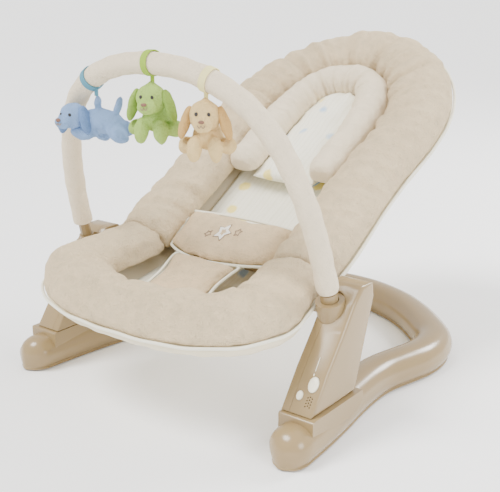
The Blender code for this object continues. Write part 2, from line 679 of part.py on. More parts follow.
def hammock(node, stations, reduce, top, thick, key, limit=None, across=8):
    """A thin pad that follows the sagging fabric through both seat planes."""
    rings = []
    for s in stations:
        outline = BACK_OUTLINE if s > 0 else FRONT_OUTLINE
        point_of = back_point if s > 0 else front_point
        w = max(half_width(outline, s, reduce), 0.012)
        full = w
        if limit is not None:
            w = min(w, limit(s))
        shift = BEND * math.exp(-abs(s) / 0.03) * (1 if s > 0 else -1)
        ring = []
        for row in (0, 1):
            for i in range(across + 1):
                u = -1 + 2 * i / across
                x = u * w if row == 0 else -u * w
                lift = -0.004 - sag(s) * (1 - min(1.0, abs(x) / full) ** 2) + top - (thick if row else 0)
                if i in (0, across):
                    lift += (0.3 * thick) * (1 if row else -1)
                ring.append(point_of(x, s + shift * lift, lift))
        rings.append(ring)
    return loft(node, rings, key)


low_s = [-0.181, -0.176, -0.168, -0.155, -0.135, -0.11, -0.08, -0.05, -0.02]
high_s = [0.012, 0.04, 0.08, 0.13, 0.19, 0.25, 0.31, 0.37, 0.42, 0.46, 0.485, 0.496, 0.501]
hammock("sling_pad", low_s + high_s, 0.034, 0.0, 0.008, "liner")
liner_s = [-0.150, -0.146, -0.135, -0.11, -0.08, -0.05, -0.02, 0.012, 0.04, 0.08, 0.13, 0.19, 0.25,
           0.30, 0.335, 0.345]


def liner_width(s):
    foot = 0.088 * math.sqrt(max(0.02, 1 - max(0.0, (-s - 0.07) / 0.081) ** 2))
    return min(foot, 0.088)


hammock("liner", liner_s, 0.034, 0.0050, 0.0036, "liner", liner_width)

for tag, outline, point_of, sign in (("upper", BACK_OUTLINE, back_point, 1),
                                     ("lower", FRONT_OUTLINE, front_point, -1)):
    edge_path = spaced(smooth_path(mirrored(outline), 4), 37)
    edge = [point_of(x, s, 0.0025) for x, s in inset(edge_path, -0.0012 * sign) if abs(s) > 0.008]
    tube("piping_" + tag, edge, 0.0024, "piping", 1)

pillow_half = [(0.0690, 0.178), (0.0690, 0.230), (0.0690, 0.290), (0.0655, 0.345), (0.0515, 0.383),
               (0.0275, 0.406), (0.0, 0.413)]
pillow_path = spaced(smooth_path(mirrored(pillow_half), 4), 31)
roll("pillow_roll", BACK_DEG, pillow_path, 0.041, 0.036, "plush", 0.001, 12, 0.016)
panel_rings = []
for s in (0.174, 0.178, 0.20, 0.25, 0.30, 0.345, 0.370, 0.384, 0.389):
    w = 0.046 * math.sqrt(max(0.05, 1 - max(0.0, (s - 0.330) / 0.062) ** 2))
    up = 0.006 * math.sin(math.pi * min(1.0, (s - 0.170) / 0.215))
    panel_rings.append([back_point(w * x, s, -0.010 + v) for x, v in (
        (-1, 0.003), (-0.8, 0.0), (0, -0.003), (0.8, 0.0), (1, 0.003),
        (0.8, 0.005 + up * 0.6), (0, 0.007 + up), (-0.8, 0.005 + up * 0.6))])
loft("pillow_panel", panel_rings, "liner")

# ---- restraint -----------------------------------------------------------------------------------
FOLD_Y, FOLD_Z = -0.2440, 0.1335
rings = []
for k in range(11):
    u = -1 + 2 * k / 10
    x = 0.090 * u
    bow = 1 - u * u
    top = (-0.058 - 0.004 * bow, 0.1985 + 0.007 * bow)
    low = (-0.112 - 0.018 * bow, 0.1720 + 0.006 * bow)
    ty, tz = top[0] - low[0], top[1] - low[1]
    norm = math.hypot(ty, tz)
    ny, nz = -tz / norm, ty / norm
    thick = 0.0070 * (0.45 if k in (0, 10) else 0.85 if k in (1, 9) else 1.0)
    ring = []
    for t, h in ((0, 0), (0.06, 0.7), (0.3, 1), (0.7, 1), (0.94, 0.7), (1, 0), (0.94, -0.7),
                 (0.7, -1), (0.3, -1), (0.06, -0.7)):
        ring.append((x, low[0] + ty * t + ny * h * thick, low[1] + tz * t + nz * h * thick))
    rings.append(ring)
loft("waist_pad", rings, "plush")
rings = []
crotch = [(-0.2435, 0.1330, 0.034), (-0.2400, 0.1335, 0.042), (-0.225, 0.1380, 0.046),
          (-0.200, 0.1480, 0.044), (-0.175, 0.1590, 0.042), (-0.152, 0.1680, 0.042),
          (-0.1405, 0.1715, 0.040), (-0.1385, 0.1720, 0.036)]
for k, (y, z, w) in enumerate(crotch):
    thick = 0.0065 * (0.4 if k in (0, len(crotch) - 1) else 1.0)
    rings.append([(w * a, y + 0.3 * b * thick * -1, z + b * thick) for a, b in (
        (-1, 0), (-0.9, 0.7), (-0.5, 1), (0, 1.05), (0.5, 1), (0.9, 0.7), (1, 0), (0.9, -0.7),
        (0.5, -1), (0, -1), (-0.5, -1), (-0.9, -0.7))])
loft("crotch_pad", rings, "plush")
for node in ("waist_pad", "crotch_pad"):
    origin(PARTS.objects[node], (0, FOLD_Y, FOLD_Z))

for side, tag in ((1, "r"), (-1, "l")):
    strap = [(0.1500, -0.0030), (0.1250, -0.0095), (0.1000, -0.0140), (0.0850, -0.0155),
             (0.0790, -0.0155)]
    rings = [[back_point(side * x, 0.030 + ds, lift + dl) for ds, dl in (
        (-0.0125, 0), (0.0125, 0), (0.0125, 0.0012), (-0.0125, 0.0012))] for x, lift in strap]
    webbing = loft("waist_strap_" + tag, rings, "webbing", False)
    for name, x0, x1, hs, h0, h1 in (("buckle_plug_", 0.0620, 0.0815, 0.014, -0.0185, -0.0110),
                                     ("buckle_body_", 0.0310, 0.0617, 0.016, -0.0200, -0.0100)):
        rings = [[back_point(side * x, 0.030 + a * hs, lift) for a, lift in (
            (-1, h0 + 0.002), (-0.8, h0), (0.8, h0), (1, h0 + 0.002), (1, h1 - 0.002), (0.8, h1),
            (-0.8, h1), (-1, h1 - 0.002))] for x in (x0, x1)]
        piece = loft(name + tag, rings, "plastic_dark" if hs > 0.015 else None, False)
        if hs < 0.015:
            settle(boolean(webbing, piece, "UNION"))

# ---- toy bar -------------------------------------------------------------------------------------
bar_path = spaced(smooth_path(mirrored(BAR_HALF), 4), 37)
bar_run = [bar_point(x, t) for x, t in bar_path]
PLUG_TOP = 0.0100                 # how far the plugs stand up the bar's line


def bar_above(low):
    """The bar's run, with both ends at the same height up its line."""
    x = BAR_X + (BAR_HALF[1][0] - BAR_X) * low / BAR_HALF[1][1]
    inner = [bar_point(a, t) for a, t in bar_path if t > low + 0.008]
    return [bar_point(x, low), *inner, bar_point(-x, low)]


core_run = bar_above(0.0010)
sleeve_run = bar_above(PLUG_TOP + 3 * GAP)
tube("bar_core", core_run, CORE_R, "plastic_dark", 2)
sleeve = tube("bar_sleeve", sleeve_run, SLEEVE_R, "plush", 3)
sleeve_bore = tube("sleeve_bore", bar_run, CORE_R + GAP, None, 2)
for side, tag in ((1, "r"), (-1, "l")):
    plug = cylinder("bar_plug_" + tag, bar_point(side * BAR_X, -SOCKET_L + 0.0045),
                    bar_point(side * 0.2119, PLUG_TOP), PLUG_R, "plastic", 24)
    plug.modifiers.clear()
    hold = tube("plug_bore_" + tag, [p for p in bar_run if p[0] * side > 0.15][::1 if side > 0 else -1][:8],
                CORE_R + GAP, None, 2)
    settle(boolean(plug, hold))
settle(boolean(sleeve, sleeve_bore))


def at_bar(x):
    """The bar's centre line where it crosses x, and its direction there."""
    for a, b in zip(bar_path, bar_path[1:]):
        if (a[0] - x) * (b[0] - x) <= 0 and a[1] > 0.15:
            t = (x - a[0]) / (b[0] - a[0])
            pos = Vector(bar_point(x, a[1] + (b[1] - a[1]) * t))
            return pos, (Vector(bar_point(*a)) - Vector(bar_point(*b))).normalized()
    return None


def outer_skin(obj):
    """Keeps the largest connected skin and drops any closed pocket inside it."""
    bm = bmesh.new()
    bm.from_mesh(obj.data)
    left, skins = set(bm.verts), []
    while left:
        todo, skin = [left.pop()], set()
        while todo:
            vert = todo.pop()
            skin.add(vert)
            for edge in vert.link_edges:
                other = edge.other_vert(vert)
                if other in left:
                    left.discard(other)
                    todo.append(other)
        skins.append(skin)
    skins.sort(key=len)
    for skin in skins[:-1]:
        bmesh.ops.delete(bm, geom=list(skin), context="VERTS")
    bm.to_mesh(obj.data)
    bm.free()
    return obj


def plush_toy(node, key, blobs, place, voxel=0.0060):
    """A soft animal as one closed skin over overlapping ellipsoids."""
    bm = bmesh.new()
    for centre, size, turn in blobs:
        ball = bmesh.ops.create_icosphere(bm, subdivisions=3, radius=1.0)
        mat = (place @ Matrix.Translation(centre)
               @ Matrix.Rotation(math.radians(turn), 4, "Y") @ Matrix.Diagonal((*size, 1.0)))
        bmesh.ops.transform(bm, matrix=mat, verts=ball["verts"])
    obj = add(node, mesh_of(node, bm), key)
    mod = obj.modifiers.new("skin", "REMESH")
    mod.mode, mod.voxel_size, mod.adaptivity, mod.use_smooth_shade = "VOXEL", voxel, 0.0, True
    return outer_skin(settle(obj))


PUP_FRONT = [  # centre, half sizes, turn about Y; facing -Y, hung from the head
    ((0, -0.006, -0.044), (0.0185, 0.0175, 0.0175), 0),
    ((0, -0.022, -0.050), (0.0110, 0.0110, 0.0095), 0),
    ((-0.0225, -0.004, -0.048), (0.0075, 0.0095, 0.0190), 18),
    ((0.0225, -0.004, -0.048), (0.0075, 0.0095, 0.0190), -18),
    ((0, 0.014, -0.066), (0.0170, 0.0240, 0.0170), 0),
    ((-0.0130, -0.008, -0.078), (0.0090, 0.0095, 0.0165), 6),
    ((0.0130, -0.008, -0.078), (0.0090, 0.0095, 0.0165), -6),
    ((-0.0190, 0.024, -0.078), (0.0095, 0.0115, 0.0130), 12),
    ((0.0190, 0.024, -0.078), (0.0095, 0.0115, 0.0130), -12),
    ((0, 0.040, -0.058), (0.0055, 0.0100, 0.0060), 0),
    ((0, -0.002, -0.0265), (0.0050, 0.0050, 0.0070), 0),
]
PUP_SIDE = [  # lying along +X, head at -X and turned to the front
    ((-0.0330, -0.012, -0.050), (0.0180, 0.0165, 0.0165), 0),
    ((-0.0370, -0.028, -0.056), (0.0105, 0.0105, 0.0085), 0),
    ((-0.0500, -0.004, -0.055), (0.0085, 0.0090, 0.0165), 10),
    ((-0.0130, -0.012, -0.052), (0.0075, 0.0095, 0.0175), -14),
    ((0.0060, 0.002, -0.054), (0.0310, 0.0165, 0.0155), 6),
    ((-0.0230, -0.014, -0.074), (0.0160, 0.0095, 0.0085), 8),
    ((0.0300, -0.004, -0.066), (0.0170, 0.0105, 0.0105), 24),
    ((0.0290, 0.012, -0.062), (0.0150, 0.0095, 0.0100), 14),
    ((0.0260, 0.002, -0.034), (0.0055, 0.0055, 0.0140), 22),
    ((-0.0020, 0.000, -0.0320), (0.0050, 0.0050, 0.0110), 0),
]
TOYS = {  # tag: bar crossing, colour, blobs, turn about Z
    "blue": (-0.112, "blue", PUP_SIDE, 8),
    "green": (0.000, "green", PUP_FRONT, 22),
    "tan": (0.086, "tan", PUP_FRONT, 30),
}
for tag, (x, key, blobs, turn) in TOYS.items():
    centre, along = at_bar(x)
    half = along * 0.0045
    band = cylinder("ribbon_" + tag, centre - half, centre + half, SLEEVE_R + 0.0020, key, 32)
    band.modifiers.clear()
    under = (Vector((0, 0, -1)) + along * along.z).normalized()
    hang = centre + under * (SLEEVE_R + 0.0013) + Vector((0, 0, -0.0085))
    tail = cylinder("ribbon_tail_" + tag, centre + under * (SLEEVE_R + 0.0011), hang, 0.0026,
                    segments=12)
    boolean(band, tail, "UNION")
    inside = cylinder("ribbon_bore_" + tag, centre - half * 2, centre + half * 2,
                      SLEEVE_R + 0.0007, segments=32)
    settle(boolean(band, inside))
    place = (Matrix.Translation(hang + Vector((0, 0, 0.0235)))
             @ Matrix.Rotation(math.radians(turn), 4, "Z"))
    if tag == "blue":
        place = place @ Matrix.Translation((0.004, 0, 0))
    pup = plush_toy("puppy_" + tag, key, blobs, place)
    notch = cylinder("tail_clear_" + tag, hang + Vector((0, 0, 0.012)),
                     hang + Vector((0, 0, -GAP)), 0.0036, segments=12)
    settle(boolean(pup, notch))
    origin(band, centre)
    origin(pup, centre)

# the frame's origin is under the middle of the whole object
for part in PARTS.objects:
    part.location.y -= Y_CENTRE
    part.location.z -= FLOOR_Z
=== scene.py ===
"""Looks of the infant bouncer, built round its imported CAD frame. Metres, row frame, +Z up."""

import math

import bmesh
import bpy
import numpy as np
from mathutils import Matrix, Vector, noise


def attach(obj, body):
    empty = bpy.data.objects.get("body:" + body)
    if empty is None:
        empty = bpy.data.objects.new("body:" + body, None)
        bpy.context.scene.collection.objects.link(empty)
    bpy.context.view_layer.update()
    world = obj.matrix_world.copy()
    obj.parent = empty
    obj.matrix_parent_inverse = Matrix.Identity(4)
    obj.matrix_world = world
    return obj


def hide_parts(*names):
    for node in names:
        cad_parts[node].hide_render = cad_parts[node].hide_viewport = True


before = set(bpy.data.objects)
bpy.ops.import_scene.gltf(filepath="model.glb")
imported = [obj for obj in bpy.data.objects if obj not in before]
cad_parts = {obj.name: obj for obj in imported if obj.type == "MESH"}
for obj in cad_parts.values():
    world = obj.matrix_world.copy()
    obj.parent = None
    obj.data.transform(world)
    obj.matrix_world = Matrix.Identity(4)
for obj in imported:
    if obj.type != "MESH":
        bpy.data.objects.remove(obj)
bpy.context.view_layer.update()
YC = 0.01143                      # the row frame's origin is this far toward the head end of the layout

# ---- layout shared with the solids ---------------------------------------------------------------
SEAT_Y, SEAT_Z, BACK_DEG, FRONT_DEG = -0.112, 0.165, 30.5, 9.0
BEND = math.tan(math.radians((BACK_DEG - FRONT_DEG) / 2))
BACK_OUTLINE = [
    (0.186, 0.012), (0.190, 0.050), (0.189, 0.110), (0.188, 0.170), (0.192, 0.230), (0.197, 0.285),
    (0.195, 0.340), (0.178, 0.400), (0.146, 0.453), (0.100, 0.497), (0.051, 0.524), (0.0, 0.533),
]
FRONT_OUTLINE = [
    (0.186, -0.006), (0.188, -0.035), (0.196, -0.068), (0.203, -0.100), (0.196, -0.134),
    (0.172, -0.168), (0.132, -0.193), (0.086, -0.207), (0.040, -0.212), (0.0, -0.213),
]
RAIL_PATH = [
    (0.2268, -0.2775), (0.2267, -0.272), (0.2265, -0.264),
    (0.225, -0.250), (0.2215, -0.200), (0.216, -0.150), (0.209, -0.100), (0.205, -0.050),
    (0.207, -0.012), (0.216, 0.026), (0.2245, 0.062), (0.225, 0.100), (0.213, 0.137),
    (0.184, 0.171), (0.148, 0.204), (0.109, 0.231), (0.071, 0.248), (0.035, 0.258), (0.0, 0.261),
]
BAR_Y, BAR_Z, BAR_LEAN = -0.157, 0.172, math.radians(15.2)
BAR_HALF = [
    (0.2125, 0.0), (0.2105, 0.035), (0.2050, 0.090), (0.1930, 0.145), (0.1730, 0.195),
    (0.1420, 0.237), (0.1000, 0.265), (0.0510, 0.281), (0.0, 0.286),
]
SLEEVE_R = 0.0138
LEG_IN, LEG_SPLIT, LEG_OUT = 0.198, 0.2100, 0.2430
LEG_OUTLINE = [
    (-0.238, 0.0535, 0.004), (-0.205, 0.100, 0.02), (-0.172, 0.140, 0.02), (-0.150, 0.170, 0.006),
    (-0.131, 0.188, 0.008), (-0.104, 0.188, 0.010), (-0.101, 0.168, 0.02), (-0.127, 0.090, 0.02),
    (-0.140, 0.0535, 0.004),
]


# ---- geometry helpers ----------------------------------------------------------------------------
def smooth_path(points, per=8):
    out = []
    for i in range(len(points) - 1):
        p0, p1, p2, p3 = (np.array(points[max(0, min(len(points) - 1, j))], float)
                          for j in (i - 1, i, i + 1, i + 2))
        for k in range(per):
            t = k / per
            out.append(0.5 * (2 * p1 + (p2 - p0) * t + (2 * p0 - 5 * p1 + 4 * p2 - p3) * t * t
                              + (3 * p1 - p0 - 3 * p2 + p3) * t ** 3))
    out.append(np.array(points[-1], float))
    return np.array(out)


def mirrored(half):
    flip = np.array([-1.0] + [1.0] * (half.shape[1] - 1))
    return np.vstack([half, (half * flip)[-2::-1]])


def spaced(path, count):
    length = np.concatenate([[0], np.cumsum(np.linalg.norm(np.diff(path, axis=0), axis=1))])
    at = np.linspace(0, length[-1], count)
    return np.stack([np.interp(at, length, path[:, k]) for k in range(path.shape[1])], axis=1)


def lengths(path):
    return np.concatenate([[0], np.cumsum(np.linalg.norm(np.diff(path, axis=0), axis=1))])


def normals2(path):
    d = np.gradient(path, axis=0)
    d /= np.linalg.norm(d, axis=1)[:, None]
    return np.stack([-d[:, 1], d[:, 0]], axis=1)


def inset(path, distance):
    return path + normals2(path) * distance


def plane(deg, x, s, lift):
    """Points on a seat plane: across, along and above it."""
    c, n = math.cos(math.radians(deg)), math.sin(math.radians(deg))
    x, s, lift = np.broadcast_arrays(np.asarray(x, float), s, lift)
    return np.stack([x, SEAT_Y - YC + s * c - lift * n, SEAT_Z + s * n + lift * c], axis=-1)


def on_plane(deg, points):
    """The inverse of plane(): (x, s, lift) of row-frame points."""
    c, n = math.cos(math.radians(deg)), math.sin(math.radians(deg))
    y, z = points[:, 1] - SEAT_Y + YC, points[:, 2] - SEAT_Z
    return points[:, 0], y * c + z * n, -y * n + z * c


def bar_at(x, t, front=0.0):
    c, n = math.cos(BAR_LEAN), math.sin(BAR_LEAN)
    x, t = np.broadcast_arrays(np.asarray(x, float), t)
    return np.stack([x, BAR_Y - YC - t * n - front * c, BAR_Z + t * c - front * n], axis=-1)


def new_object(name, mesh, material=None, smooth=True):
    obj = bpy.data.objects.new(name, mesh)
    bpy.context.scene.collection.objects.link(obj)
    if material:
        mesh.materials.clear()
        mesh.materials.append(material)
    mesh.polygons.foreach_set("use_smooth", [smooth] * len(mesh.polygons))
    return obj


def loft(name, rings, material=None, closed_path=False, smooth=True):
    """A closed solid through rings of equal length."""
    rings = np.asarray(rings, float)
    rows, count = rings.shape[:2]
    faces = []
    for a in range(rows if closed_path else rows - 1):
        b = (a + 1) % rows
        for i in range(count):
            j = (i + 1) % count
            faces.append((a * count + i, a * count + j, b * count + j, b * count + i))
    if not closed_path:
        faces += [tuple(range(count))[::-1], tuple(range((rows - 1) * count, rows * count))]
    mesh = bpy.data.meshes.new(name)
    mesh.from_pydata([tuple(p) for p in rings.reshape(-1, 3)], [], faces)
    bm = bmesh.new()
    bm.from_mesh(mesh)
    bmesh.ops.recalc_face_normals(bm, faces=bm.faces)
    bm.to_mesh(mesh)
    bm.free()
    return new_object(name, mesh, material, smooth)


def tube(name, points, radius, material=None, sides=12, closed=False):
    """A round tube of fixed or varying radius along 3D points."""
    points = np.asarray(points, float)
    tangent = np.gradient(points, axis=0)
    if closed:
        tangent = np.roll(points, -1, 0) - np.roll(points, 1, 0)
    tangent /= np.linalg.norm(tangent, axis=1)[:, None]
    side = np.cross(tangent[0], (0.13, 0.21, 0.97))
    side /= np.linalg.norm(side)
    radius = np.broadcast_to(radius, len(points))
    rings = []
    for p, t, r in zip(points, tangent, radius):
        side = side - t * np.dot(side, t)
        side /= np.linalg.norm(side)
        up = np.cross(t, side)
        a = np.arange(sides) * 2 * math.pi / sides
        rings.append(p + r * (np.cos(a)[:, None] * side + np.sin(a)[:, None] * up))
    return loft(name, rings, material, closed)


def coords(obj):
    co = np.empty(len(obj.data.vertices) * 3)
    obj.data.vertices.foreach_get("co", co)
    return co.reshape(-1, 3)


def set_coords(obj, co):
    obj.data.vertices.foreach_set("co", np.ascontiguousarray(co).reshape(-1))
    obj.data.update()


def vertex_normals(obj):
    out = np.empty(len(obj.data.vertices) * 3)
    obj.data.vertices.foreach_get("normal", out)
    return out.reshape(-1, 3)


def settle(obj, *drop):
    """Applies the modifiers, and removes the helpers that they used."""
    bpy.context.view_layer.update()
    graph = bpy.context.evaluated_depsgraph_get()
    mesh = bpy.data.meshes.new_from_object(obj.evaluated_get(graph))
    obj.modifiers.clear()
    obj.data = mesh
    for helper in drop:
        bpy.data.objects.remove(helper, do_unlink=True)
    return obj


def smooth_all(obj):
    obj.data.polygons.foreach_set("use_smooth", [True] * len(obj.data.polygons))
    return obj


def remesh(obj, voxel, relax=0):
    mod = obj.modifiers.new("skin", "REMESH")
    mod.mode, mod.voxel_size = "VOXEL", voxel
    if relax:
        even = obj.modifiers.new("even", "SMOOTH")
        even.iterations, even.factor = relax, 0.6
    return smooth_all(settle(obj))


def inflate(obj, voxel, cap, pinned=None, pressure=4.0, frames=20):
    """Turns a plain form into blown-up cloth.

    Remesh, cloth under pressure, capped movement, one subdivision.
    """
    remesh(obj, voxel)
    rest = coords(obj)
    mod = obj.modifiers.new("cloth", "CLOTH")
    cloth = mod.settings
    cloth.use_pressure, cloth.uniform_pressure_force = True, pressure
    cloth.effector_weights.gravity = 0.0
    cloth.quality, cloth.mass = 4, 0.25
    cloth.tension_stiffness = cloth.compression_stiffness = 12
    cloth.bending_stiffness = 0.4
    mod.point_cache.frame_start, mod.point_cache.frame_end = 1, frames
    if pinned is not None:
        group = obj.vertex_groups.new(name="held")
        group.add([int(i) for i in np.flatnonzero(pinned(rest))], 1.0, "REPLACE")
        cloth.vertex_group_mass = "held"
    scene = bpy.context.scene
    for f in range(1, frames + 1):
        scene.frame_set(f)
    graph = bpy.context.evaluated_depsgraph_get()
    shape = bpy.data.meshes.new_from_object(obj.evaluated_get(graph))
    moved = np.empty(len(shape.vertices) * 3)
    shape.vertices.foreach_get("co", moved)
    bpy.data.meshes.remove(shape)
    step = moved.reshape(-1, 3) - rest
    far = np.linalg.norm(step, axis=1)
    step *= np.minimum(1.0, cap / np.maximum(far, 1e-9))[:, None]
    obj.modifiers.clear()
    obj.vertex_groups.clear()
    set_coords(obj, rest + step)
    scene.frame_set(1)
    sub = obj.modifiers.new("fine", "SUBSURF")
    sub.levels = sub.render_levels = 1
    return smooth_all(settle(obj))


def noise_at(points, scale, seed=0.0):
    return np.array([noise.noise(Vector(p) * scale + Vector((seed, seed * 1.7, seed * 0.6)))
                     for p in points])


def nearest(path, x, s):
    """For each point of a plane, the arc length and the side distance of the closest point of a flat path."""
    length, n = lengths(path), normals2(path)
    arc, side = np.empty(len(x)), np.empty(len(x))
    for i in range(0, len(x), 4000):
        q = np.stack([x[i:i + 4000], s[i:i + 4000]], axis=1)
        d = ((q[:, None, :] - path[None]) ** 2).sum(2)
        k = d.argmin(1)
        arc[i:i + 4000] = length[k]
        side[i:i + 4000] = ((q - path[k]) * n[k]).sum(1)
        t = np.stack([n[k][:, 1], -n[k][:, 0]], axis=1)
        arc[i:i + 4000] += ((q - path[k]) * t).sum(1)
    return arc, side


def ridges(arc, waves, seed):
    """Irregular folds across a path: a sum of waves whose phase drifts."""
    drift = np.array([noise.noise(Vector((a * 9.0, seed, 0.3))) for a in arc]) * 2.6
    out = np.zeros(len(arc))
    for k, (length, share) in enumerate(waves):
        out += share * np.sin(2 * math.pi * arc / length + drift * (1 + 0.4 * k) + seed * (k + 1))
    return out


def boolean(obj, other, operation="DIFFERENCE"):
    mod = obj.modifiers.new(operation.lower(), "BOOLEAN")
    mod.object, mod.operation, mod.solver = other, operation, "EXACT"


def auto_smooth(obj, degrees=35):
    """Smooth shading with sharp edges where the surface turns by more than the angle."""
    mesh = obj.data
    mesh.polygons.foreach_set("use_smooth", [True] * len(mesh.polygons))
    bm = bmesh.new()
    bm.from_mesh(mesh)
    for edge in bm.edges:
        edge.smooth = not (len(edge.link_faces) == 2
                           and edge.calc_face_angle(0.0) > math.radians(degrees))
    bm.to_mesh(mesh)
    bm.free()
    return obj


# ---- materials -----------------------------------------------------------------------------------
def srgb(r, g, b):
    return tuple(((c / 255 + 0.055) / 1.055) ** 2.4 if c > 10 else c / 255 / 12.92 for c in (r, g, b))


class Look:
    """A material and the few node calls that build its pattern."""

    def __init__(self, name, colour, rough, metallic=0.0):
        self.mat = bpy.data.materials.new(name)
        self.mat.use_nodes = True
        self.tree = self.mat.node_tree
        self.shader = self.tree.nodes["Principled BSDF"]
        self.set("Base Color", (*colour, 1.0))
        self.set("Roughness", rough)
        self.set("Metallic", metallic)
        self.mat.diffuse_color = (*colour, 1.0)
        self.coord = self.tree.nodes.new("ShaderNodeTexCoord").outputs["Object"]

    def set(self, socket, value):
        self.shader.inputs[socket].default_value = value

    def node(self, kind, links=(), **values):
        node = self.tree.nodes.new(kind)
        for key, value in values.items():
            if key in node.inputs:
                node.inputs[key].default_value = value
            else:
                setattr(node, key, value)
        for key, source in dict(links).items():
            self.tree.links.new(source, node.inputs[key])
        return node

    def noise(self, scale, detail=3.0, rough=0.55, vector=None):
        node = self.node("ShaderNodeTexNoise", {"Vector": vector or self.coord}, Scale=scale,
                         Detail=detail, Roughness=rough)
        return node.outputs["Fac"]

    def ramp(self, source, stops):
        node = self.node("ShaderNodeValToRGB", {"Fac": source})
        band = node.color_ramp
        while len(band.elements) < len(stops):
            band.elements.new(0.5)
        for element, (pos, colour) in zip(band.elements, stops):
            element.position = pos
            element.color = (*colour, 1.0) if len(colour) == 3 else colour
        return node.outputs["Color"]

    def mix(self, fac, a, b, blend="MIX"):
        node = self.tree.nodes.new("ShaderNodeMix")
        node.data_type, node.blend_type = "RGBA", blend
        for socket, value in ((node.inputs[0], fac), (node.inputs[6], a), (node.inputs[7], b)):
            if isinstance(value, bpy.types.NodeSocket):
                self.tree.links.new(value, socket)
            else:
                socket.default_value = value
        return node.outputs[2]

    def math(self, operation, a, b=0.5, c=None):
        node = self.tree.nodes.new("ShaderNodeMath")
        node.operation = operation
        for socket, value in zip(node.inputs, (a, b) if c is None else (a, b, c)):
            if isinstance(value, bpy.types.NodeSocket):
                self.tree.links.new(value, socket)
            else:
                socket.default_value = value
        return node.outputs[0]

    def bump(self, source, distance, strength=1.0, under=None):
        node = self.node("ShaderNodeBump", {"Height": source}, Strength=strength, Distance=distance)
        if under is not None:
            self.tree.links.new(under, node.inputs["Normal"])
        self.tree.links.new(node.outputs["Normal"], self.shader.inputs["Normal"])
        return node.outputs["Normal"]

    def colour(self, source):
        self.tree.links.new(source, self.shader.inputs["Base Color"])


def scaled(colour, k):
    return tuple(min(1.0, c * k) for c in colour)


def plush(name, colour, pile=1.0, contrast=0.17):
    """Short pile: crushed patches, fine tufts and a soft rim."""
    look = Look(name, colour, 0.95)
    look.set("Sheen Weight", 0.35)
    look.set("Sheen Roughness", 0.45)
    look.set("Sheen Tint", (*scaled(colour, 1.15), 1.0))
    look.set("Specular IOR Level", 0.15)
    patch = look.noise(70.0, 4.0, 0.6)
    broad = look.noise(14.0, 2.0)
    fine = look.noise(430.0, 3.0, 0.7)
    base = look.ramp(patch, [(0.30, scaled(colour, 1 - contrast)), (0.55, colour),
                             (0.75, scaled(colour, 1 + contrast * 0.45))])
    speck = look.ramp(fine, [(0.32, (0.86, 0.85, 0.82)), (0.58, (1.0, 1.0, 1.0))])
    base = look.mix(0.45 * min(1.0, pile), base, speck, "MULTIPLY")
    base = look.mix(0.35, base, look.ramp(broad, [(0.35, scaled(colour, 1 - contrast)),
                                                  (0.7, scaled(colour, 1.03))]))
    look.colour(base)
    first = look.bump(fine, 0.0026 * pile, 0.75)
    look.bump(look.math("ADD", patch, look.math("MULTIPLY", fine, 0.35)), 0.0065 * pile, 0.75, first)
    return look.mat


def plastic(name, colour, rough=0.34):
    look = Look(name, colour, rough)
    look.set("Coat Weight", 0.12)
    look.set("Coat Roughness", 0.25)
    look.set("Specular IOR Level", 0.5)
    cloudy = look.noise(22.0, 3.0)
    look.colour(look.ramp(cloudy, [(0.3, scaled(colour, 0.985)), (0.7, scaled(colour, 1.01))]))
    rough_map = look.math("MULTIPLY_ADD", look.noise(160.0, 4.0), 0.05, rough - 0.025)
    look.tree.links.new(rough_map, look.shader.inputs["Roughness"])
    look.bump(look.noise(900.0, 2.0), 0.0001, 0.05)
    return look.mat


def jersey(name, colour, printed=True):
    """Smooth knitted liner with faint stripes and scattered pale spots."""
    look = Look(name, colour, 0.85)
    look.set("Sheen Weight", 0.15)
    look.set("Specular IOR Level", 0.2)
    base = look.ramp(look.noise(30.0), [(0.3, scaled(colour, 0.97)), (0.7, colour)])
    if printed:
        apart = look.node("ShaderNodeSeparateXYZ", {"Vector": look.coord})
        wobble = look.math("MULTIPLY_ADD", look.noise(9.0, 1.0), 0.010, apart.outputs["X"])
        line = look.math("SINE", look.math("MULTIPLY", wobble, 2 * math.pi / 0.0075), 0.0)
        line = look.math("POWER", look.math("MULTIPLY_ADD", line, 0.5, 0.5), 3.0)
        base = look.mix(look.math("MULTIPLY", line, 0.30), base, (*srgb(220, 216, 186), 1.0))
        cell = look.node("ShaderNodeTexVoronoi", {"Vector": look.coord}, Scale=25.0, Randomness=0.9)
        size = look.math("MULTIPLY_ADD", look.noise(60.0, 1.0), 0.16, cell.outputs["Distance"])
        spot = look.ramp(size, [(0.27, (1, 1, 1)), (0.36, (0, 0, 0))])
        pick = look.node("ShaderNodeSeparateColor", {"Color": cell.outputs["Color"]})
        tint = look.ramp(pick.outputs[0], [(0.45, srgb(246, 222, 84)), (0.55, srgb(140, 184, 226))])
        keep = look.math("GREATER_THAN", pick.outputs[1], 0.38)
        amount = look.math("MULTIPLY", look.math("MULTIPLY", spot, keep), 0.75)
        base = look.mix(amount, base, tint)
    look.colour(base)
    knit = look.node("ShaderNodeTexVoronoi", {"Vector": look.coord}, Scale=900.0)
    look.bump(knit.outputs["Distance"], 0.0004, 0.35)
    return look.mat


def woven(name, colour, pitch=0.0011):
    look = Look(name, colour, 0.8)
    look.set("Specular IOR Level", 0.2)
    apart = look.node("ShaderNodeSeparateXYZ", {"Vector": look.coord})
    total = look.math("ADD", look.math("ADD", apart.outputs["X"], apart.outputs["Y"]), apart.outputs["Z"])
    wave = look.math("SINE", look.math("MULTIPLY", total, 2 * math.pi / pitch / 1.4), 0.0)
    look.colour(look.ramp(look.math("MULTIPLY_ADD", wave, 0.5, 0.5),
                          [(0.2, scaled(colour, 0.90)), (0.8, scaled(colour, 1.03))]))
    look.bump(wave, 0.0003, 0.4)
    return look.mat


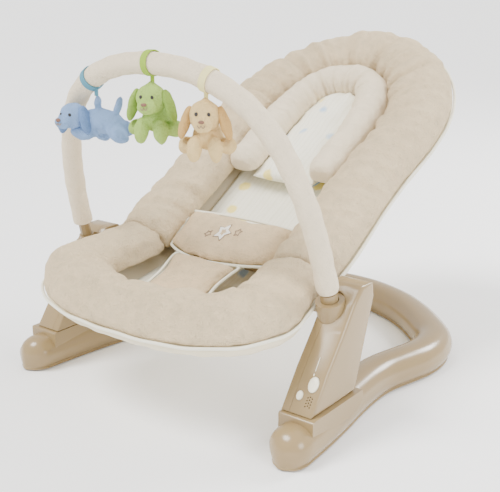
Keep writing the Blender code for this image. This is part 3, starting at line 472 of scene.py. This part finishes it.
PLUSH = srgb(238, 216, 178)
M = {
    "plush": plush("plush_cream", PLUSH),
    "plush_fine": plush("plush_sleeve", srgb(240, 224, 196), 0.6, 0.06),
    "plush_pad": plush("plush_restraint", srgb(234, 208, 168), 0.8),
    "liner": jersey("liner_print", srgb(247, 243, 224)),
    "under": jersey("cover_underside", srgb(230, 219, 190), False),
    "piping": woven("piping_cord", srgb(244, 240, 220)),
    "webbing": woven("strap_webbing", srgb(216, 196, 156)),
    "plastic": plastic("moulded_beige", srgb(146, 124, 86), 0.22),
    "plastic_dark": plastic("moulded_beige_dark", srgb(138, 117, 80), 0.40),
    "button": plastic("key_cream", srgb(244, 238, 214), 0.30),
    "blue": plush("toy_blue", srgb(136, 166, 208), 0.7, 0.12),
    "green": plush("toy_green", srgb(168, 199, 104), 0.7, 0.12),
    "tan": plush("toy_tan", srgb(230, 200, 142), 0.7, 0.12),
}
for key, colour, rough, metal in (
    ("black", srgb(38, 34, 32), 0.22, 0.0), ("rubber", srgb(70, 66, 60), 0.85, 0.0),
    ("steel", srgb(190, 190, 188), 0.32, 1.0), ("board", srgb(40, 96, 62), 0.5, 0.0),
    ("cell", srgb(60, 62, 66), 0.4, 0.3), ("thread_dark", srgb(150, 128, 104), 0.8, 0.0),
    ("thread_white", srgb(240, 236, 226), 0.8, 0.0),
):
    look = Look(key + "_look", colour, rough, metal)
    look.bump(look.noise(500.0), 0.0002, 0.2)
    M[key] = look.mat

for key, colour in (("blue", srgb(112, 143, 190)), ("green", srgb(146, 178, 82)),
                    ("tan", srgb(212, 172, 108))):
    M[key + "_deep"] = plush("toy_ear_" + key, colour, 0.7, 0.12)
look = Look("nose_thread", srgb(120, 84, 66), 0.6)
M["nose"] = look.mat

RIBBON = {"blue": srgb(92, 146, 166), "green": srgb(150, 182, 62), "tan": srgb(236, 226, 160)}
for key, colour in RIBBON.items():
    M["ribbon_" + key] = woven("ribbon_" + key, colour, 0.0009)

NODE_LOOK = {
    "plastic": ["base_rail", "saddle_l", "saddle_r", "leg_outer_l", "leg_outer_r", "leg_inner_l",
                "leg_inner_r", "bar_socket_l", "bar_socket_r", "bar_plug_l", "bar_plug_r"],
    "plastic_dark": ["base_plate", "battery_tray", "battery_door", "seat_hub_l", "seat_hub_r",
                     "buckle_body_l", "buckle_body_r", "bar_core"],
    "button": ["power_button", "sound_button"],
    "steel": ["leg_screw_l", "leg_screw_r", "pivot_pin_l", "pivot_pin_r", "contact_plate",
              "vibration_motor", "door_screw", "eccentric_weight", "seat_tube_upper",
              "seat_tube_lower"],
    "rubber": ["foot_toe_r", "foot_toe_l", "foot_rear_r", "foot_rear_l"],
    "black": ["speaker"], "board": ["circuit_board"], "cell": ["battery_1", "battery_2"],
    "under": ["hem_upper", "hem_lower", "sling_pad"], "liner": ["liner", "pillow_panel"],
    "plush": ["back_roll", "front_roll", "pillow_roll", "bar_sleeve"],
    "plush_pad": ["waist_pad", "crotch_pad"],
    "piping": ["piping_upper", "piping_lower"], "webbing": ["waist_strap_l", "waist_strap_r"],
    "blue": ["puppy_blue"], "green": ["puppy_green"], "tan": ["puppy_tan"],
    "ribbon_blue": ["ribbon_blue"], "ribbon_green": ["ribbon_green"], "ribbon_tan": ["ribbon_tan"],
}
for key, names in NODE_LOOK.items():
    for name in names:
        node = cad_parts[name]
        node.data.materials.clear()
        node.data.materials.append(M[key])


def place(obj, body, slot, *nodes):
    """Puts a finished piece on its body and hides the CAD nodes it stands for; the finish slot is not used.
    """
    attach(obj, body)
    if nodes:
        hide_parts(*nodes)
    return obj


# ---- floor loop ----------------------------------------------------------------------------------
rail = spaced(mirrored(smooth_path(RAIL_PATH, 8)), 220)
rail_len, rail_n = lengths(rail), normals2(rail)
rings = []
for i, (p, n) in enumerate(zip(rail, rail_n)):
    edge = min(rail_len[i], rail_len[-1] - rail_len[i])
    k = 1.0 if edge >= 0.028 else math.sqrt(max(0.02, 1 - (1 - edge / 0.028) ** 2))
    ring = []
    for j in range(33):
        t = math.radians(-40 + 260 * j / 32)
        u = 0.028 * k * math.copysign(abs(math.cos(t)) ** 0.92, math.cos(t))
        high = 0.0205 + (0.0255 * k if math.sin(t) > 0 else 0.0240) * math.sin(t)
        ring.append((p[0] + n[0] * u, p[1] + n[1] * u - YC, high))
    for u, z in ((-0.80, 0.0042), (-0.84, 0.0038), (-0.84, 0.0023), (0.84, 0.0023), (0.84, 0.0038),
                 (0.80, 0.0042)):
        ring.append((p[0] + n[0] * u * 0.028 * k, p[1] + n[1] * u * 0.028 * k - YC, z))
    rings.append(ring)
base = auto_smooth(loft("floor_rail", rings, M["plastic"]), 40)
place(base, "base", "plastic", "base_rail", "base_plate")

def offset_loop(points, distance):
    """A closed outline with sharp corners, its edges moved inward in parallel."""
    p = np.array(points)
    d = np.roll(p, -1, 0) - p
    d /= np.linalg.norm(d, axis=1)[:, None]
    n = np.stack([-d[:, 1], d[:, 0]], axis=1)
    if ((p - p.mean(0)) * n).sum() > 0:
        n = -n
    back = np.roll(n, 1, 0)
    return p + (n + back) / (1 + (n * back).sum(1))[:, None] * distance


def shaved(name, node, x0, x1, soft):
    """The CAD piece with its long outer edges rounded: what it shares with a softened block."""
    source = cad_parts[node]
    copy = new_object(name, source.data.copy(), M["plastic"])
    copy.matrix_world = source.matrix_world
    outline = [point[:2] for point in LEG_OUTLINE]
    rings, steps = [], []
    for k in range(7):
        a = math.pi / 2 * k / 6
        steps.append((soft * math.sin(a), soft * (1 - math.cos(a))))
    side = 1 if x1 > x0 else -1
    sections = [(x0 - side * 0.004, 0.0)] + [(x1 - side * soft + side * h, d) for h, d in steps]
    for x, d in sections:
        rings.append([(x, y - YC, z) for y, z in offset_loop(outline, d - 0.0004)])
    block = loft(name + "_block", rings)
    boolean(copy, block, "INTERSECT")
    settle(copy, block)
    if len(copy.data.polygons) < 40:
        bpy.data.objects.remove(copy, do_unlink=True)
        return
    copy.data.materials.clear()
    copy.data.materials.append(M["plastic"])
    place(auto_smooth(copy, 40), "base", "plastic", node)


for tag, side in (("r", 1), ("l", -1)):
    shaved("housing_outer_" + tag, "leg_outer_" + tag, side * LEG_SPLIT, side * LEG_OUT, 0.0060)
    shaved("housing_inner_" + tag, "leg_inner_" + tag, side * LEG_SPLIT, side * LEG_IN, 0.0035)

FACE_A = math.atan2(0.0465, 0.033)


def face_at(x, up, out):
    return np.array([x, -0.238 - YC + up * math.cos(FACE_A) - out * math.sin(FACE_A),
                     0.0535 + up * math.sin(FACE_A) + out * math.cos(FACE_A)])


for i, (x, a, b, r) in enumerate(((0.2255, 0.0560, 0.0740, 0.0005), (0.2255, 0.0500, 0.0530, 0.0009),
                                  (0.2240, 0.0445, 0.0450, 0.0011), (0.2245, 0.0385, 0.0400, 0.0008))):
    run = [face_at(x, a + (b - a) * t, -0.0002) for t in np.linspace(0, 1, 5)]
    place(tube("face_mark_" + str(i + 1), run, r, M["button"], 8), "base", "button")

# ---- seat cushions -------------------------------------------------------------------------------
def pad_section(width, height, count=26, flat=0.30):
    a = 2 * math.pi * np.arange(count) / count
    c, s = np.cos(a), np.sin(a)
    across = width / 2 * np.sign(c) * np.abs(c) ** 0.85
    up = height * (flat + (1 - flat) * np.maximum(s, 0) ** 0.9)
    down = height * flat * (1 - np.abs(np.minimum(s, 0)) ** 0.6)
    return across, np.where(s >= 0, up, down)


def cushion_roll(name, deg, path, width, height, material, sign, lift=0.0005, narrow=0.04):
    across, rise = pad_section(width, height, 26, 0.07 if sign else 0.25)
    length, n = lengths(path), normals2(path)
    rings = []
    for i, p in enumerate(path):
        edge = min(length[i], length[-1] - length[i])
        inside = 1 - 0.34 * math.exp(-(p[0] / 0.075) ** 4) if sign < 0 else 1.0
        k = 1.0 if edge > 0.02 or sign else 0.70 + 0.30 * math.sqrt(1 - (1 - edge / 0.02) ** 2)
        near = math.exp(-abs(p[1]) / 0.05) if sign else 0.0
        w = np.where(across < 0, across * inside, across) * k * (1 - narrow * near)
        up = lift + height * 0.3 * (1 - k) + rise * k
        rings.append(plane(deg, p[0] + n[i, 0] * w, p[1] + n[i, 1] * w + sign * BEND * up * near, up))
    return loft(name, rings, material)


def kept(path, low, count):
    return spaced(path[np.abs(path[:, 1]) >= low], count)


back_edge = spaced(mirrored(smooth_path(BACK_OUTLINE)), 240)
front_edge = spaced(mirrored(smooth_path(FRONT_OUTLINE)), 200)


def to_bend(path, count):
    """The middle line of a roll, run straight on at both ends until it meets the other roll."""
    ends = [np.array([[path[i][0], 0.0008 * math.copysign(1, path[len(path) // 2][1])]]) for i in (0, -1)]
    return spaced(np.vstack([ends[0], path, ends[1]]), count)


back_mid = to_bend(kept(inset(back_edge, 0.0488), 0.018, 200), 170)
front_mid = to_bend(kept(inset(front_edge, -0.0478), 0.016, 160), 140)

back = cushion_roll("back_cushion", BACK_DEG, back_mid, 0.096, 0.044, M["plush"], 1)
inflate(back, 0.005, 0.006, lambda co: on_plane(BACK_DEG, co)[2] < 0.004)
co, nm = coords(back), vertex_normals(back)
x, s, lift = on_plane(BACK_DEG, co)
arc, side = nearest(back_mid, x, s)
head = np.clip((s - 0.24) / 0.16, 0, 1)
inner = np.clip(0.5 + side / 0.09, 0, 1)
fold = ridges(arc + 0.25 * side, [(0.034, 0.55), (0.021, 0.35), (0.055, 0.5)], 2.1)
depth = (0.0013 + 0.0030 * head) * (0.35 + 0.9 * inner) * np.clip((lift - 0.004) / 0.01, 0, 1)
depth += 0.0006 * (1 - head) * np.clip((lift - 0.01) / 0.02, 0, 1)
soft = noise_at(co, 22.0, 3.0) * 0.0024 + noise_at(co, 55.0, 5.0) * 0.0014 + noise_at(co, 130.0, 6.0) * 0.0009
set_coords(back, co + nm * (fold * depth + soft * np.clip((lift - 0.002) / 0.01, 0, 1))[:, None])
place(back, "seat_body", "plush", "back_roll")

front = cushion_roll("foot_cushion", FRONT_DEG, front_mid, 0.094, 0.043, M["plush"], -1)
inflate(front, 0.005, 0.006, lambda co: on_plane(FRONT_DEG, co)[2] < 0.004)
co, nm = coords(front), vertex_normals(front)
x, s, lift = on_plane(FRONT_DEG, co)
arc, side = nearest(front_mid, x, s)
fold = ridges(arc - 0.4 * side, [(0.060, 0.6), (0.037, 0.35), (0.110, 0.5)], 4.4)
bend = np.clip((-s - 0.03) / 0.1, 0, 1)
depth = (0.0014 + 0.0018 * bend) * np.clip((lift - 0.004) / 0.01, 0, 1)
soft = noise_at(co, 20.0, 8.0) * 0.0026 + noise_at(co, 55.0, 9.0) * 0.0014 + noise_at(co, 130.0, 6.0) * 0.0009
set_coords(front, co + nm * (fold * depth + soft * np.clip((lift - 0.002) / 0.01, 0, 1))[:, None])
place(front, "seat_body", "plush", "front_roll")

for tag, deg, outline, sign in (("upper", BACK_DEG, back_edge, 1), ("lower", FRONT_DEG, front_edge, -1)):
    run = inset(outline, -0.0012 * sign)
    run = run[np.abs(run[:, 1]) > 0.008]
    wave = 0.0006 * np.sin(np.arange(len(run)) * 0.35)
    cord = tube("edge_piping_" + tag, plane(deg, run[:, 0], run[:, 1], 0.0024 + wave), 0.0021, M["piping"])
    place(cord, "seat_body", "piping", "piping_" + tag)
    rim = outline[np.abs(outline[:, 1]) > 0.014]
    n = normals2(rim) * sign
    band = []
    for j, (p, q) in enumerate(zip(rim, n)):
        puff = 0.0008 * math.sin(j * 0.55) * math.sin(j * 0.13)
        band.append(np.concatenate([plane(deg, p[0] + q[0] * d, p[1] + q[1] * d, h)[None] for d, h in (
            (0.0035, 0.0000), (0.0030, -0.0040), (0.0045, -0.0085 - puff), (0.0085, -0.0135 - puff),
            (0.0140, -0.0172 - puff), (0.0190, -0.0185), (0.0240, -0.0172), (0.0280, -0.0130),
            (0.0290, -0.0070), (0.0270, -0.0020), (0.0150, 0.0000))]))
    hem = loft("cover_band_" + tag, band, M["under"])
    place(hem, "seat_body", "liner", "hem_" + tag)


def half_width(outline, s, reduce):
    sign = 1 if outline[len(outline) // 2][1] > 0 else -1
    path = inset(outline, reduce * sign)
    s = sign * max(abs(s), 0.024)
    hit = (path[:-1, 1] - s) * (path[1:, 1] - s) <= 0
    a, b = path[:-1][hit], path[1:][hit]
    t = (s - a[:, 1]) / np.where(b[:, 1] == a[:, 1], 1e-9, b[:, 1] - a[:, 1])
    xs = a[:, 0] + (b[:, 0] - a[:, 0]) * t
    return max([0.0, *xs])


def sag(s):
    return 0.030 - 0.018 * max(0.0, (s - 0.15) / 0.36) - 0.012 * max(0.0, (-s - 0.10) / 0.10)


rings = []
for s in np.concatenate([np.linspace(-0.150, -0.012, 26), np.linspace(0.008, 0.345, 50)]):
    outline, deg = (back_edge, BACK_DEG) if s > 0 else (front_edge, FRONT_DEG)
    full = max(half_width(outline, s, 0.034), 0.012)
    w = min(full, 0.097 * math.sqrt(max(0.02, 1 - max(0.0, (-s - 0.09) / 0.066) ** 2)), 0.097)
    shift = BEND * math.exp(-abs(s) / 0.03) * (1 if s > 0 else -1)
    u = np.linspace(-1, 1, 41)
    x = u * w
    lift = -0.004 - sag(s) * (1 - np.minimum(1, np.abs(x) / full) ** 2) + 0.005
    wave = (0.0010 * np.sin(x * 330 + 2 * math.sin(s * 21)) + 0.0006 * np.sin(x * 610 + s * 9))
    top = lift + 0.0016 + wave * (1 - u ** 4)
    under = lift - 0.0036
    xs = np.concatenate([x, x[::-1]])
    ls = np.concatenate([top, under[::-1]])
    ls[[0, 40, 41, 81]] = ls[[0, 40, 41, 81]] * 0.4 + (np.tile(lift[[0, -1]], 2)[[0, 1, 1, 0]] - 0.001) * 0.6
    rings.append(plane(deg, xs, s + shift * ls, ls))
liner = loft("seat_liner", rings, M["liner"])
place(liner, "seat_body", "liner", "liner")

# head pillow: a bolster gathered round a printed panel
PILLOW = [(0.0720, 0.178), (0.0730, 0.230), (0.0725, 0.290), (0.0680, 0.340), (0.0530, 0.379),
          (0.0290, 0.401), (0.0, 0.408)]
pillow_path = spaced(mirrored(smooth_path(PILLOW)), 110)
pillow = cushion_roll("pillow_bolster", BACK_DEG, pillow_path, 0.052, 0.037, M["plush_fine"], 0, 0.002, 0)
inflate(pillow, 0.004, 0.005, lambda co: on_plane(BACK_DEG, co)[2] < 0.004)
co, nm = coords(pillow), vertex_normals(pillow)
x, s, lift = on_plane(BACK_DEG, co)
arc, side = nearest(pillow_path, x, s)
fold = ridges(arc, [(0.0125, 0.5), (0.0085, 0.3), (0.021, 0.5)], 1.3)
edge = np.clip(0.5 + side / 0.046, 0, 1) ** 1.4
round_head = 0.22 + 0.78 * np.clip((s - 0.27) / 0.10, 0, 1)
uneven = 0.75 + 0.5 * noise_at(np.column_stack([arc, arc * 0, arc * 0]), 32.0, 7.0)
depth = 0.0036 * (0.16 + edge) * round_head * uneven * np.clip((lift - 0.003) / 0.008, 0, 1)
unevenness = noise_at(co, 34.0, 2.0) * 0.0022 + noise_at(co, 90.0, 3.0) * 0.0008
set_coords(pillow, co + nm * (fold * depth + unevenness)[:, None])
place(pillow, "seat_body", "plush", "pillow_roll")

rings = []
for s in np.linspace(0.177, 0.391, 60):
    w = 0.0535 * math.sqrt(max(0.04, 1 - max(0.0, (s - 0.325) / 0.067) ** 2))
    u = np.linspace(-1, 1, 33)
    crown = 0.015 * (1 - np.abs(u) ** 2.6) * min(1, (s - 0.174) / 0.035) ** 0.5 * min(1, (0.398 - s) / 0.03)
    fold = 0.0014 * np.sin(u * 9 + 2.4 * math.sin(s * 31)) * (1 - u ** 2) + 0.0008 * np.sin(s * 150 + u * 4)
    top = 0.002 + crown + fold
    low = np.full(33, -0.012) + 0.004 * u ** 2 + 0.008 * max(0.0, 1 - (s - 0.177) / 0.02)
    rings.append(plane(BACK_DEG, np.concatenate([u * w, u[::-1] * w]), s, np.concatenate([top, low[::-1]])))
panel = loft("pillow_print", rings, M["liner"])
place(panel, "seat_body", "liner", "pillow_panel")

# ---- restraint -----------------------------------------------------------------------------------
def waist_frame(k):
    """Lower edge, upper edge and outward normal (y, z) of the waist part at -1..1 across."""
    bow = 1 - k * k
    top = np.array([-0.050 - 0.004 * bow, 0.2110 + 0.004 * bow])
    low = np.array([-0.108 - 0.034 * bow, 0.1760 + 0.001 * bow])
    d = top - low
    return low, d, np.array([-d[1], d[0]]) / np.linalg.norm(d)


def waist_point(k, t, lift):
    low, d, n = waist_frame(k)
    p = low + d * t + n * lift
    return np.array([(0.088 + 0.008 * t) * k, p[0] - YC, p[1]])


rings = []
for k in np.linspace(-1, 1, 35):
    thick = 0.0078 * (0.35 if abs(k) > 0.99 else 0.8 if abs(k) > 0.93 else 1.0)
    t = np.linspace(0, 1, 15)
    h = np.sqrt(np.clip(1 - (2 * t - 1) ** 4, 0, 1)) * thick
    h[[0, -1]] = 0.0012
    rings.append([waist_point(k, a, b) for a, b in zip(t, h)]
                 + [waist_point(k, a, -b) for a, b in zip(t[::-1], h[::-1])])
waist = loft("restraint_waist", rings, M["plush_pad"])
inflate(waist, 0.004, 0.0030)
co, nm = coords(waist), vertex_normals(waist)
set_coords(waist, co + nm * (noise_at(co, 26.0, 1.0) * 0.0030 + noise_at(co, 75.0, 2.0) * 0.0009)[:, None])
place(waist, "restraint", "plush", "waist_pad")
edge = ([waist_point(k, 0.0, 0.0006) for k in np.linspace(-0.97, 0.97, 60)]
        + [waist_point(1.0, t, 0.0006) for t in np.linspace(0.06, 0.94, 16)]
        + [waist_point(k, 1.0, 0.0006) for k in np.linspace(0.97, -0.97, 60)]
        + [waist_point(-1.0, t, 0.0006) for t in np.linspace(0.94, 0.06, 16)])
edge = np.array(edge)
edge += (edge - edge.mean(0)) / np.linalg.norm(edge - edge.mean(0), axis=1)[:, None] * 0.0016
place(tube("waist_piping", edge, 0.0021, M["piping"], 10, True), "restraint", "piping")

CROTCH = [(-0.2440, 0.1330, 0.036), (-0.2400, 0.1340, 0.050), (-0.225, 0.1390, 0.0545),
          (-0.200, 0.1490, 0.0500), (-0.175, 0.1600, 0.0480), (-0.152, 0.1695, 0.0520),
          (-0.1360, 0.1745, 0.0545), (-0.1330, 0.1750, 0.050)]
run = spaced(smooth_path(CROTCH, 4), 26)
rings = []
for i, (y, z, w) in enumerate(run):
    edge = min(i, len(run) - 1 - i)
    thick = 0.0070 * (0.4 if edge == 0 else 0.8 if edge == 1 else 1.0)
    u = np.linspace(-1, 1, 21)
    h = np.sqrt(np.clip(1 - u ** 4, 0, 1)) * thick
    h[[0, -1]] = 0.0010
    xs = np.concatenate([u * w, u[::-1] * w])
    hs = np.concatenate([h, -h[::-1]])
    rings.append(np.column_stack([xs, y - 0.3 * hs - YC, z + hs]))
crotch = loft("restraint_crotch", rings, M["plush_pad"])
inflate(crotch, 0.004, 0.0025)
co, nm = coords(crotch), vertex_normals(crotch)
set_coords(crotch, co + nm * (noise_at(co, 28.0, 6.0) * 0.0028)[:, None])
place(crotch, "restraint", "plush", "crotch_pad")
for tag, side in (("l", -1), ("r", 1)):
    path = np.column_stack([side * (run[:, 2] + 0.0018), run[:, 0] - YC, run[:, 1] + 0.0006])
    place(tube("crotch_piping_" + tag, path, 0.0020, M["piping"], 10), "restraint", "piping")

# a stitched star on the waist part
def stitch_points(radius, turn, per_side=5):
    out = []
    for i in range(10):
        r = radius * (1.0 if i % 2 == 0 else 0.52)
        a = math.pi * i / 5 + turn
        out.append((r * math.sin(a), r * math.cos(a)))
    path = []
    for i in range(10):
        a, b = np.array(out[i]), np.array(out[(i + 1) % 10])
        path += [a + (b - a) * j / per_side for j in range(per_side)]
    return np.array(path)


def pad_surface(x, up):
    """A point on the top of the finished waist part, by its place across and up the middle."""
    k = x / 0.092
    start = Vector(waist_point(k, 0.5 + up / 0.064, 0.05))
    aim = Vector(waist_point(k, 0.5 + up / 0.064, 0.0)) - start
    hit, where, normal, _ = waist.ray_cast(start, aim.normalized())
    return np.array(where if hit else start + aim), np.array(normal if hit else (0, 0, 1))


for name, radius, cx, cy, thread, lift, turn in (
    ("star_edge", 0.0125, 0.000, 0.002, "thread_dark", 0.0003, 0.2),
    ("star_inner", 0.0105, 0.000, 0.002, "thread_white", 0.0003, 0.2),
    ("star_core", 0.0075, 0.000, 0.002, "thread_white", 0.0003, 0.2),
    ("small_star_a", 0.0055, -0.021, -0.004, "thread_dark", 0.0003, 0.5),
    ("small_star_b", 0.0055, 0.021, 0.006, "thread_dark", 0.0003, -0.1),
):
    pts = []
    for a, b in stitch_points(radius, turn):
        where, normal = pad_surface(cx + a, cy + b)
        pts.append(where + normal * lift)
    thick = 0.0011 if thread == "thread_white" else 0.0007
    place(tube("stitch_" + name, pts, thick, M[thread], 8, True), "restraint", None)

# ---- toy bar -------------------------------------------------------------------------------------
bar = spaced(mirrored(smooth_path(BAR_HALF)), 200)
line = bar_at(bar[:, 0], bar[:, 1])
arc = lengths(line)
keep = bar[:, 1] > np.where(bar[:, 0] < 0, 0.030, 0.010)
radius = SLEEVE_R + 0.0004 * np.sin(arc * 95) * np.sin(arc * 31 + 1) + 0.0003 * np.sin(arc * 210 + 2)
radius = np.where(bar[:, 1] < 0.014, radius - 0.0015, radius)[keep]
sleeve = tube("plush_sleeve", line[keep], radius, M["plush_fine"], 28)
bore = tube("sleeve_hole", line, 0.0083, None, 16)
boolean(sleeve, bore)
settle(sleeve, bore)
auto_smooth(sleeve, 60)
place(sleeve, "toy_bar", "plush", "bar_sleeve")

# ---- hanging toys --------------------------------------------------------------------------------
FRONT_BODY = [
    ((0, 0.012, -0.067), (0.0180, 0.0220, 0.0180), 0),
    ((-0.0125, -0.010, -0.080), (0.0090, 0.0100, 0.0165), 5),
    ((0.0125, -0.010, -0.080), (0.0090, 0.0100, 0.0165), -5),
    ((-0.0250, 0.008, -0.079), (0.0100, 0.0150, 0.0105), 24),
    ((0.0250, 0.008, -0.079), (0.0100, 0.0150, 0.0105), -24),
    ((0, 0.038, -0.058), (0.0055, 0.0110, 0.0060), 0),
]
FRONT_HEAD = [
    ((0, -0.005, -0.042), (0.0190, 0.0180, 0.0185), 0),
    ((0, -0.0205, -0.0500), (0.0125, 0.0105, 0.0095), 0),
    ((0, -0.002, -0.0260), (0.0050, 0.0050, 0.0060), 0),
]
FRONT_EARS = [((-0.0235, -0.005, -0.050), (0.0062, 0.0105, 0.0205), 17),
              ((0.0235, -0.005, -0.050), (0.0062, 0.0105, 0.0205), -17)]
SIDE_BODY = [
    ((0.0040, 0.003, -0.056), (0.0330, 0.0170, 0.0160), 6),
    ((-0.0210, -0.012, -0.0715), (0.0185, 0.0095, 0.0085), 10),
    ((-0.0120, -0.004, -0.0650), (0.0150, 0.0110, 0.0110), 30),
    ((-0.0060, 0.012, -0.075), (0.0120, 0.0090, 0.0085), 20),
    ((0.0320, -0.006, -0.069), (0.0180, 0.0105, 0.0100), 26),
    ((0.0300, 0.012, -0.064), (0.0155, 0.0095, 0.0100), 14),
    ((0.0285, 0.002, -0.036), (0.0052, 0.0055, 0.0150), 22),
    ((-0.0020, 0.000, -0.0330), (0.0050, 0.0050, 0.0110), 0),
]
SIDE_HEAD = [
    ((-0.0330, -0.013, -0.050), (0.0185, 0.0170, 0.0172), 0),
    ((-0.0370, -0.0285, -0.0565), (0.0118, 0.0100, 0.0088), 0),
]
SIDE_EARS = [((-0.0515, -0.010, -0.0570), (0.0062, 0.0100, 0.0180), 12),
             ((-0.0125, -0.013, -0.054), (0.0062, 0.0100, 0.0190), -16)]
TOYS = {"blue": (-0.112, 8, SIDE_BODY, SIDE_HEAD, SIDE_EARS, 0.004),
        "green": (0.0, 22, FRONT_BODY, FRONT_HEAD, FRONT_EARS, 0.0),
        "tan": (0.086, 30, FRONT_BODY, FRONT_HEAD, FRONT_EARS, 0.0)}
EYE_HALF, EYE_OUT, EYE_UP = (0.0019, 0.0012, 0.0021), 0.0072, 0.0040
NOSE_HALF, NOSE_UP = (0.0036, 0.0024, 0.0024), 0.0042
MOUTH_R = 0.00045


def blob_mesh(name, blobs, matrix, material, voxel=0.0019):
    bm = bmesh.new()
    for centre, half, turn in blobs:
        shape = (matrix @ Matrix.Translation(centre) @ Matrix.Rotation(math.radians(turn), 4, "Y")
                 @ Matrix.Diagonal((*half, 1)))
        bmesh.ops.create_uvsphere(bm, u_segments=28, v_segments=16, radius=1.0, matrix=shape)
    mesh = bpy.data.meshes.new(name)
    bm.to_mesh(mesh)
    bm.free()
    obj = new_object(name, mesh, material)
    if len(blobs) > 1:
        remesh(obj, voxel, 5)
        obj.data.materials.clear()
        obj.data.materials.append(material)
    co, nm = coords(obj), vertex_normals(obj)
    set_coords(obj, co + nm * (noise_at(co, 130.0, 4.0) * 0.0009)[:, None])
    return obj


def bar_spot(x):
    i = int(np.argmin(np.abs(bar[:, 0] - x)))
    a, b = line[max(i - 1, 0)], line[min(i + 1, len(line) - 1)]
    t = (b - a) / np.linalg.norm(b - a)
    order = np.argsort(line[:, 0])
    best = np.array([np.interp(x, line[order, 0], line[order, k]) for k in range(3)])
    return Vector(best), Vector(t if t[0] > 0 else -t)


for tag, (x, turn, body, head, ears, shift) in TOYS.items():
    centre, along = bar_spot(x)
    under = (Vector((0, 0, -1)) + along * along.z).normalized()
    hang = centre + under * (SLEEVE_R + 0.0013) + Vector((0, 0, -0.0085))
    frame_at = (Matrix.Translation(hang + Vector((0, 0, 0.0235)))
                @ Matrix.Rotation(math.radians(turn), 4, "Z")
                @ Matrix.Translation((shift, 0, 0)))
    owner = "toy_" + tag
    body_obj = place(blob_mesh("puppy_body_" + tag, body, frame_at, M[tag]), owner, tag, "puppy_" + tag)
    head_obj = place(blob_mesh("puppy_head_" + tag, head, frame_at, M[tag]), owner, tag)
    for side, blob in zip("lr", ears):
        ear = blob_mesh("puppy_ear_" + side + "_" + tag, [blob], frame_at, M[tag + "_deep"])
        place(ear, owner, tag)
    hx, hy, hz = head[0][0]
    rx, ry, rz = head[0][1]
    mx, my, mz = head[1][0]
    for side, dx in (("l", -EYE_OUT), ("r", EYE_OUT)):
        dz = EYE_UP
        dy = -ry * math.sqrt(max(0.0, 1 - (dx / rx) ** 2 - (dz / rz) ** 2)) - 0.0002
        eye = blob_mesh("puppy_eye_" + side + "_" + tag,
                        [((hx + dx, hy + dy, hz + dz), EYE_HALF, 0)], frame_at, M["black"])
        place(eye, owner, "black")
    nose = blob_mesh("puppy_nose_" + tag, [((mx, my - head[1][1][1] + 0.0004, mz + NOSE_UP),
                                           NOSE_HALF, 0)], frame_at, M["nose"])
    place(nose, owner, "black")
    mouth = []
    for k in np.linspace(-1, 1, 15):
        px, pz = 0.0045 * k, 0.0006 - 0.0030 * math.sin(math.pi * abs(k))
        ey = math.sqrt(max(0.0, 1 - (px / head[1][1][0]) ** 2 - (pz / head[1][1][2]) ** 2))
        mouth.append(frame_at @ Vector((mx + px, my - head[1][1][1] * ey - 0.0001, mz + pz)))
    place(tube("puppy_mouth_" + tag, [tuple(p) for p in mouth], MOUTH_R, M["thread_dark"], 6), owner, None)

# ---- camera, light, floor ------------------------------------------------------------------------
size = 40.0
mesh = bpy.data.meshes.new("floor")
mesh.from_pydata([(-size, -size, 0), (size, -size, 0), (size, size, 0), (-size, size, 0)], [], [(0, 1, 2, 3)])
floor_look = Look("pale_floor", (0.96, 0.96, 0.96), 0.8)
floor = new_object("floor", mesh, floor_look.mat, False)

world = bpy.context.scene.world or bpy.data.worlds.new("world")
bpy.context.scene.world = world
world.use_nodes = True
world.node_tree.nodes["Background"].inputs[0].default_value = (1.0, 1.0, 1.0, 1.0)
world.node_tree.nodes["Background"].inputs[1].default_value = 1.4


def area_light(name, where, toward, size, power, colour=(1.0, 1.0, 1.0)):
    data = bpy.data.lights.new(name, "AREA")
    data.size, data.energy, data.color = size, power, colour
    lamp = bpy.data.objects.new(name, data)
    bpy.context.scene.collection.objects.link(lamp)
    lamp.location = where
    lamp.rotation_euler = (Vector(toward) - Vector(where)).to_track_quat("-Z", "Y").to_euler()


sun = bpy.data.objects.new("key", bpy.data.lights.new("key", "SUN"))
bpy.context.scene.collection.objects.link(sun)
sun.data.energy, sun.data.angle, sun.data.color = 4.0, 0.45, (1.0, 0.985, 0.96)
sun.rotation_euler = Vector((0.42, 0.50, -1.0)).to_track_quat("-Z", "Y").to_euler()
area_light("side", (1.9, -0.5, 0.9), (0, 0, 0.15), 0.8, 22)
area_light("rim", (0.9, 1.9, 1.6), (0.1, 0, 0.15), 0.7, 55)

camera = bpy.data.objects.new("camera", bpy.data.cameras.new("camera"))
bpy.context.scene.collection.objects.link(camera)
camera.data.sensor_fit, camera.data.sensor_width, camera.data.lens = "HORIZONTAL", 36.0, 64.8
camera.location = (0.7579, -0.7783 - 0.25 - YC, 0.5513)
camera.rotation_euler = Vector((-0.5816, 0.7597, -0.2908)).to_track_quat("-Z", "Y").to_euler()
bpy.context.scene.camera = camera
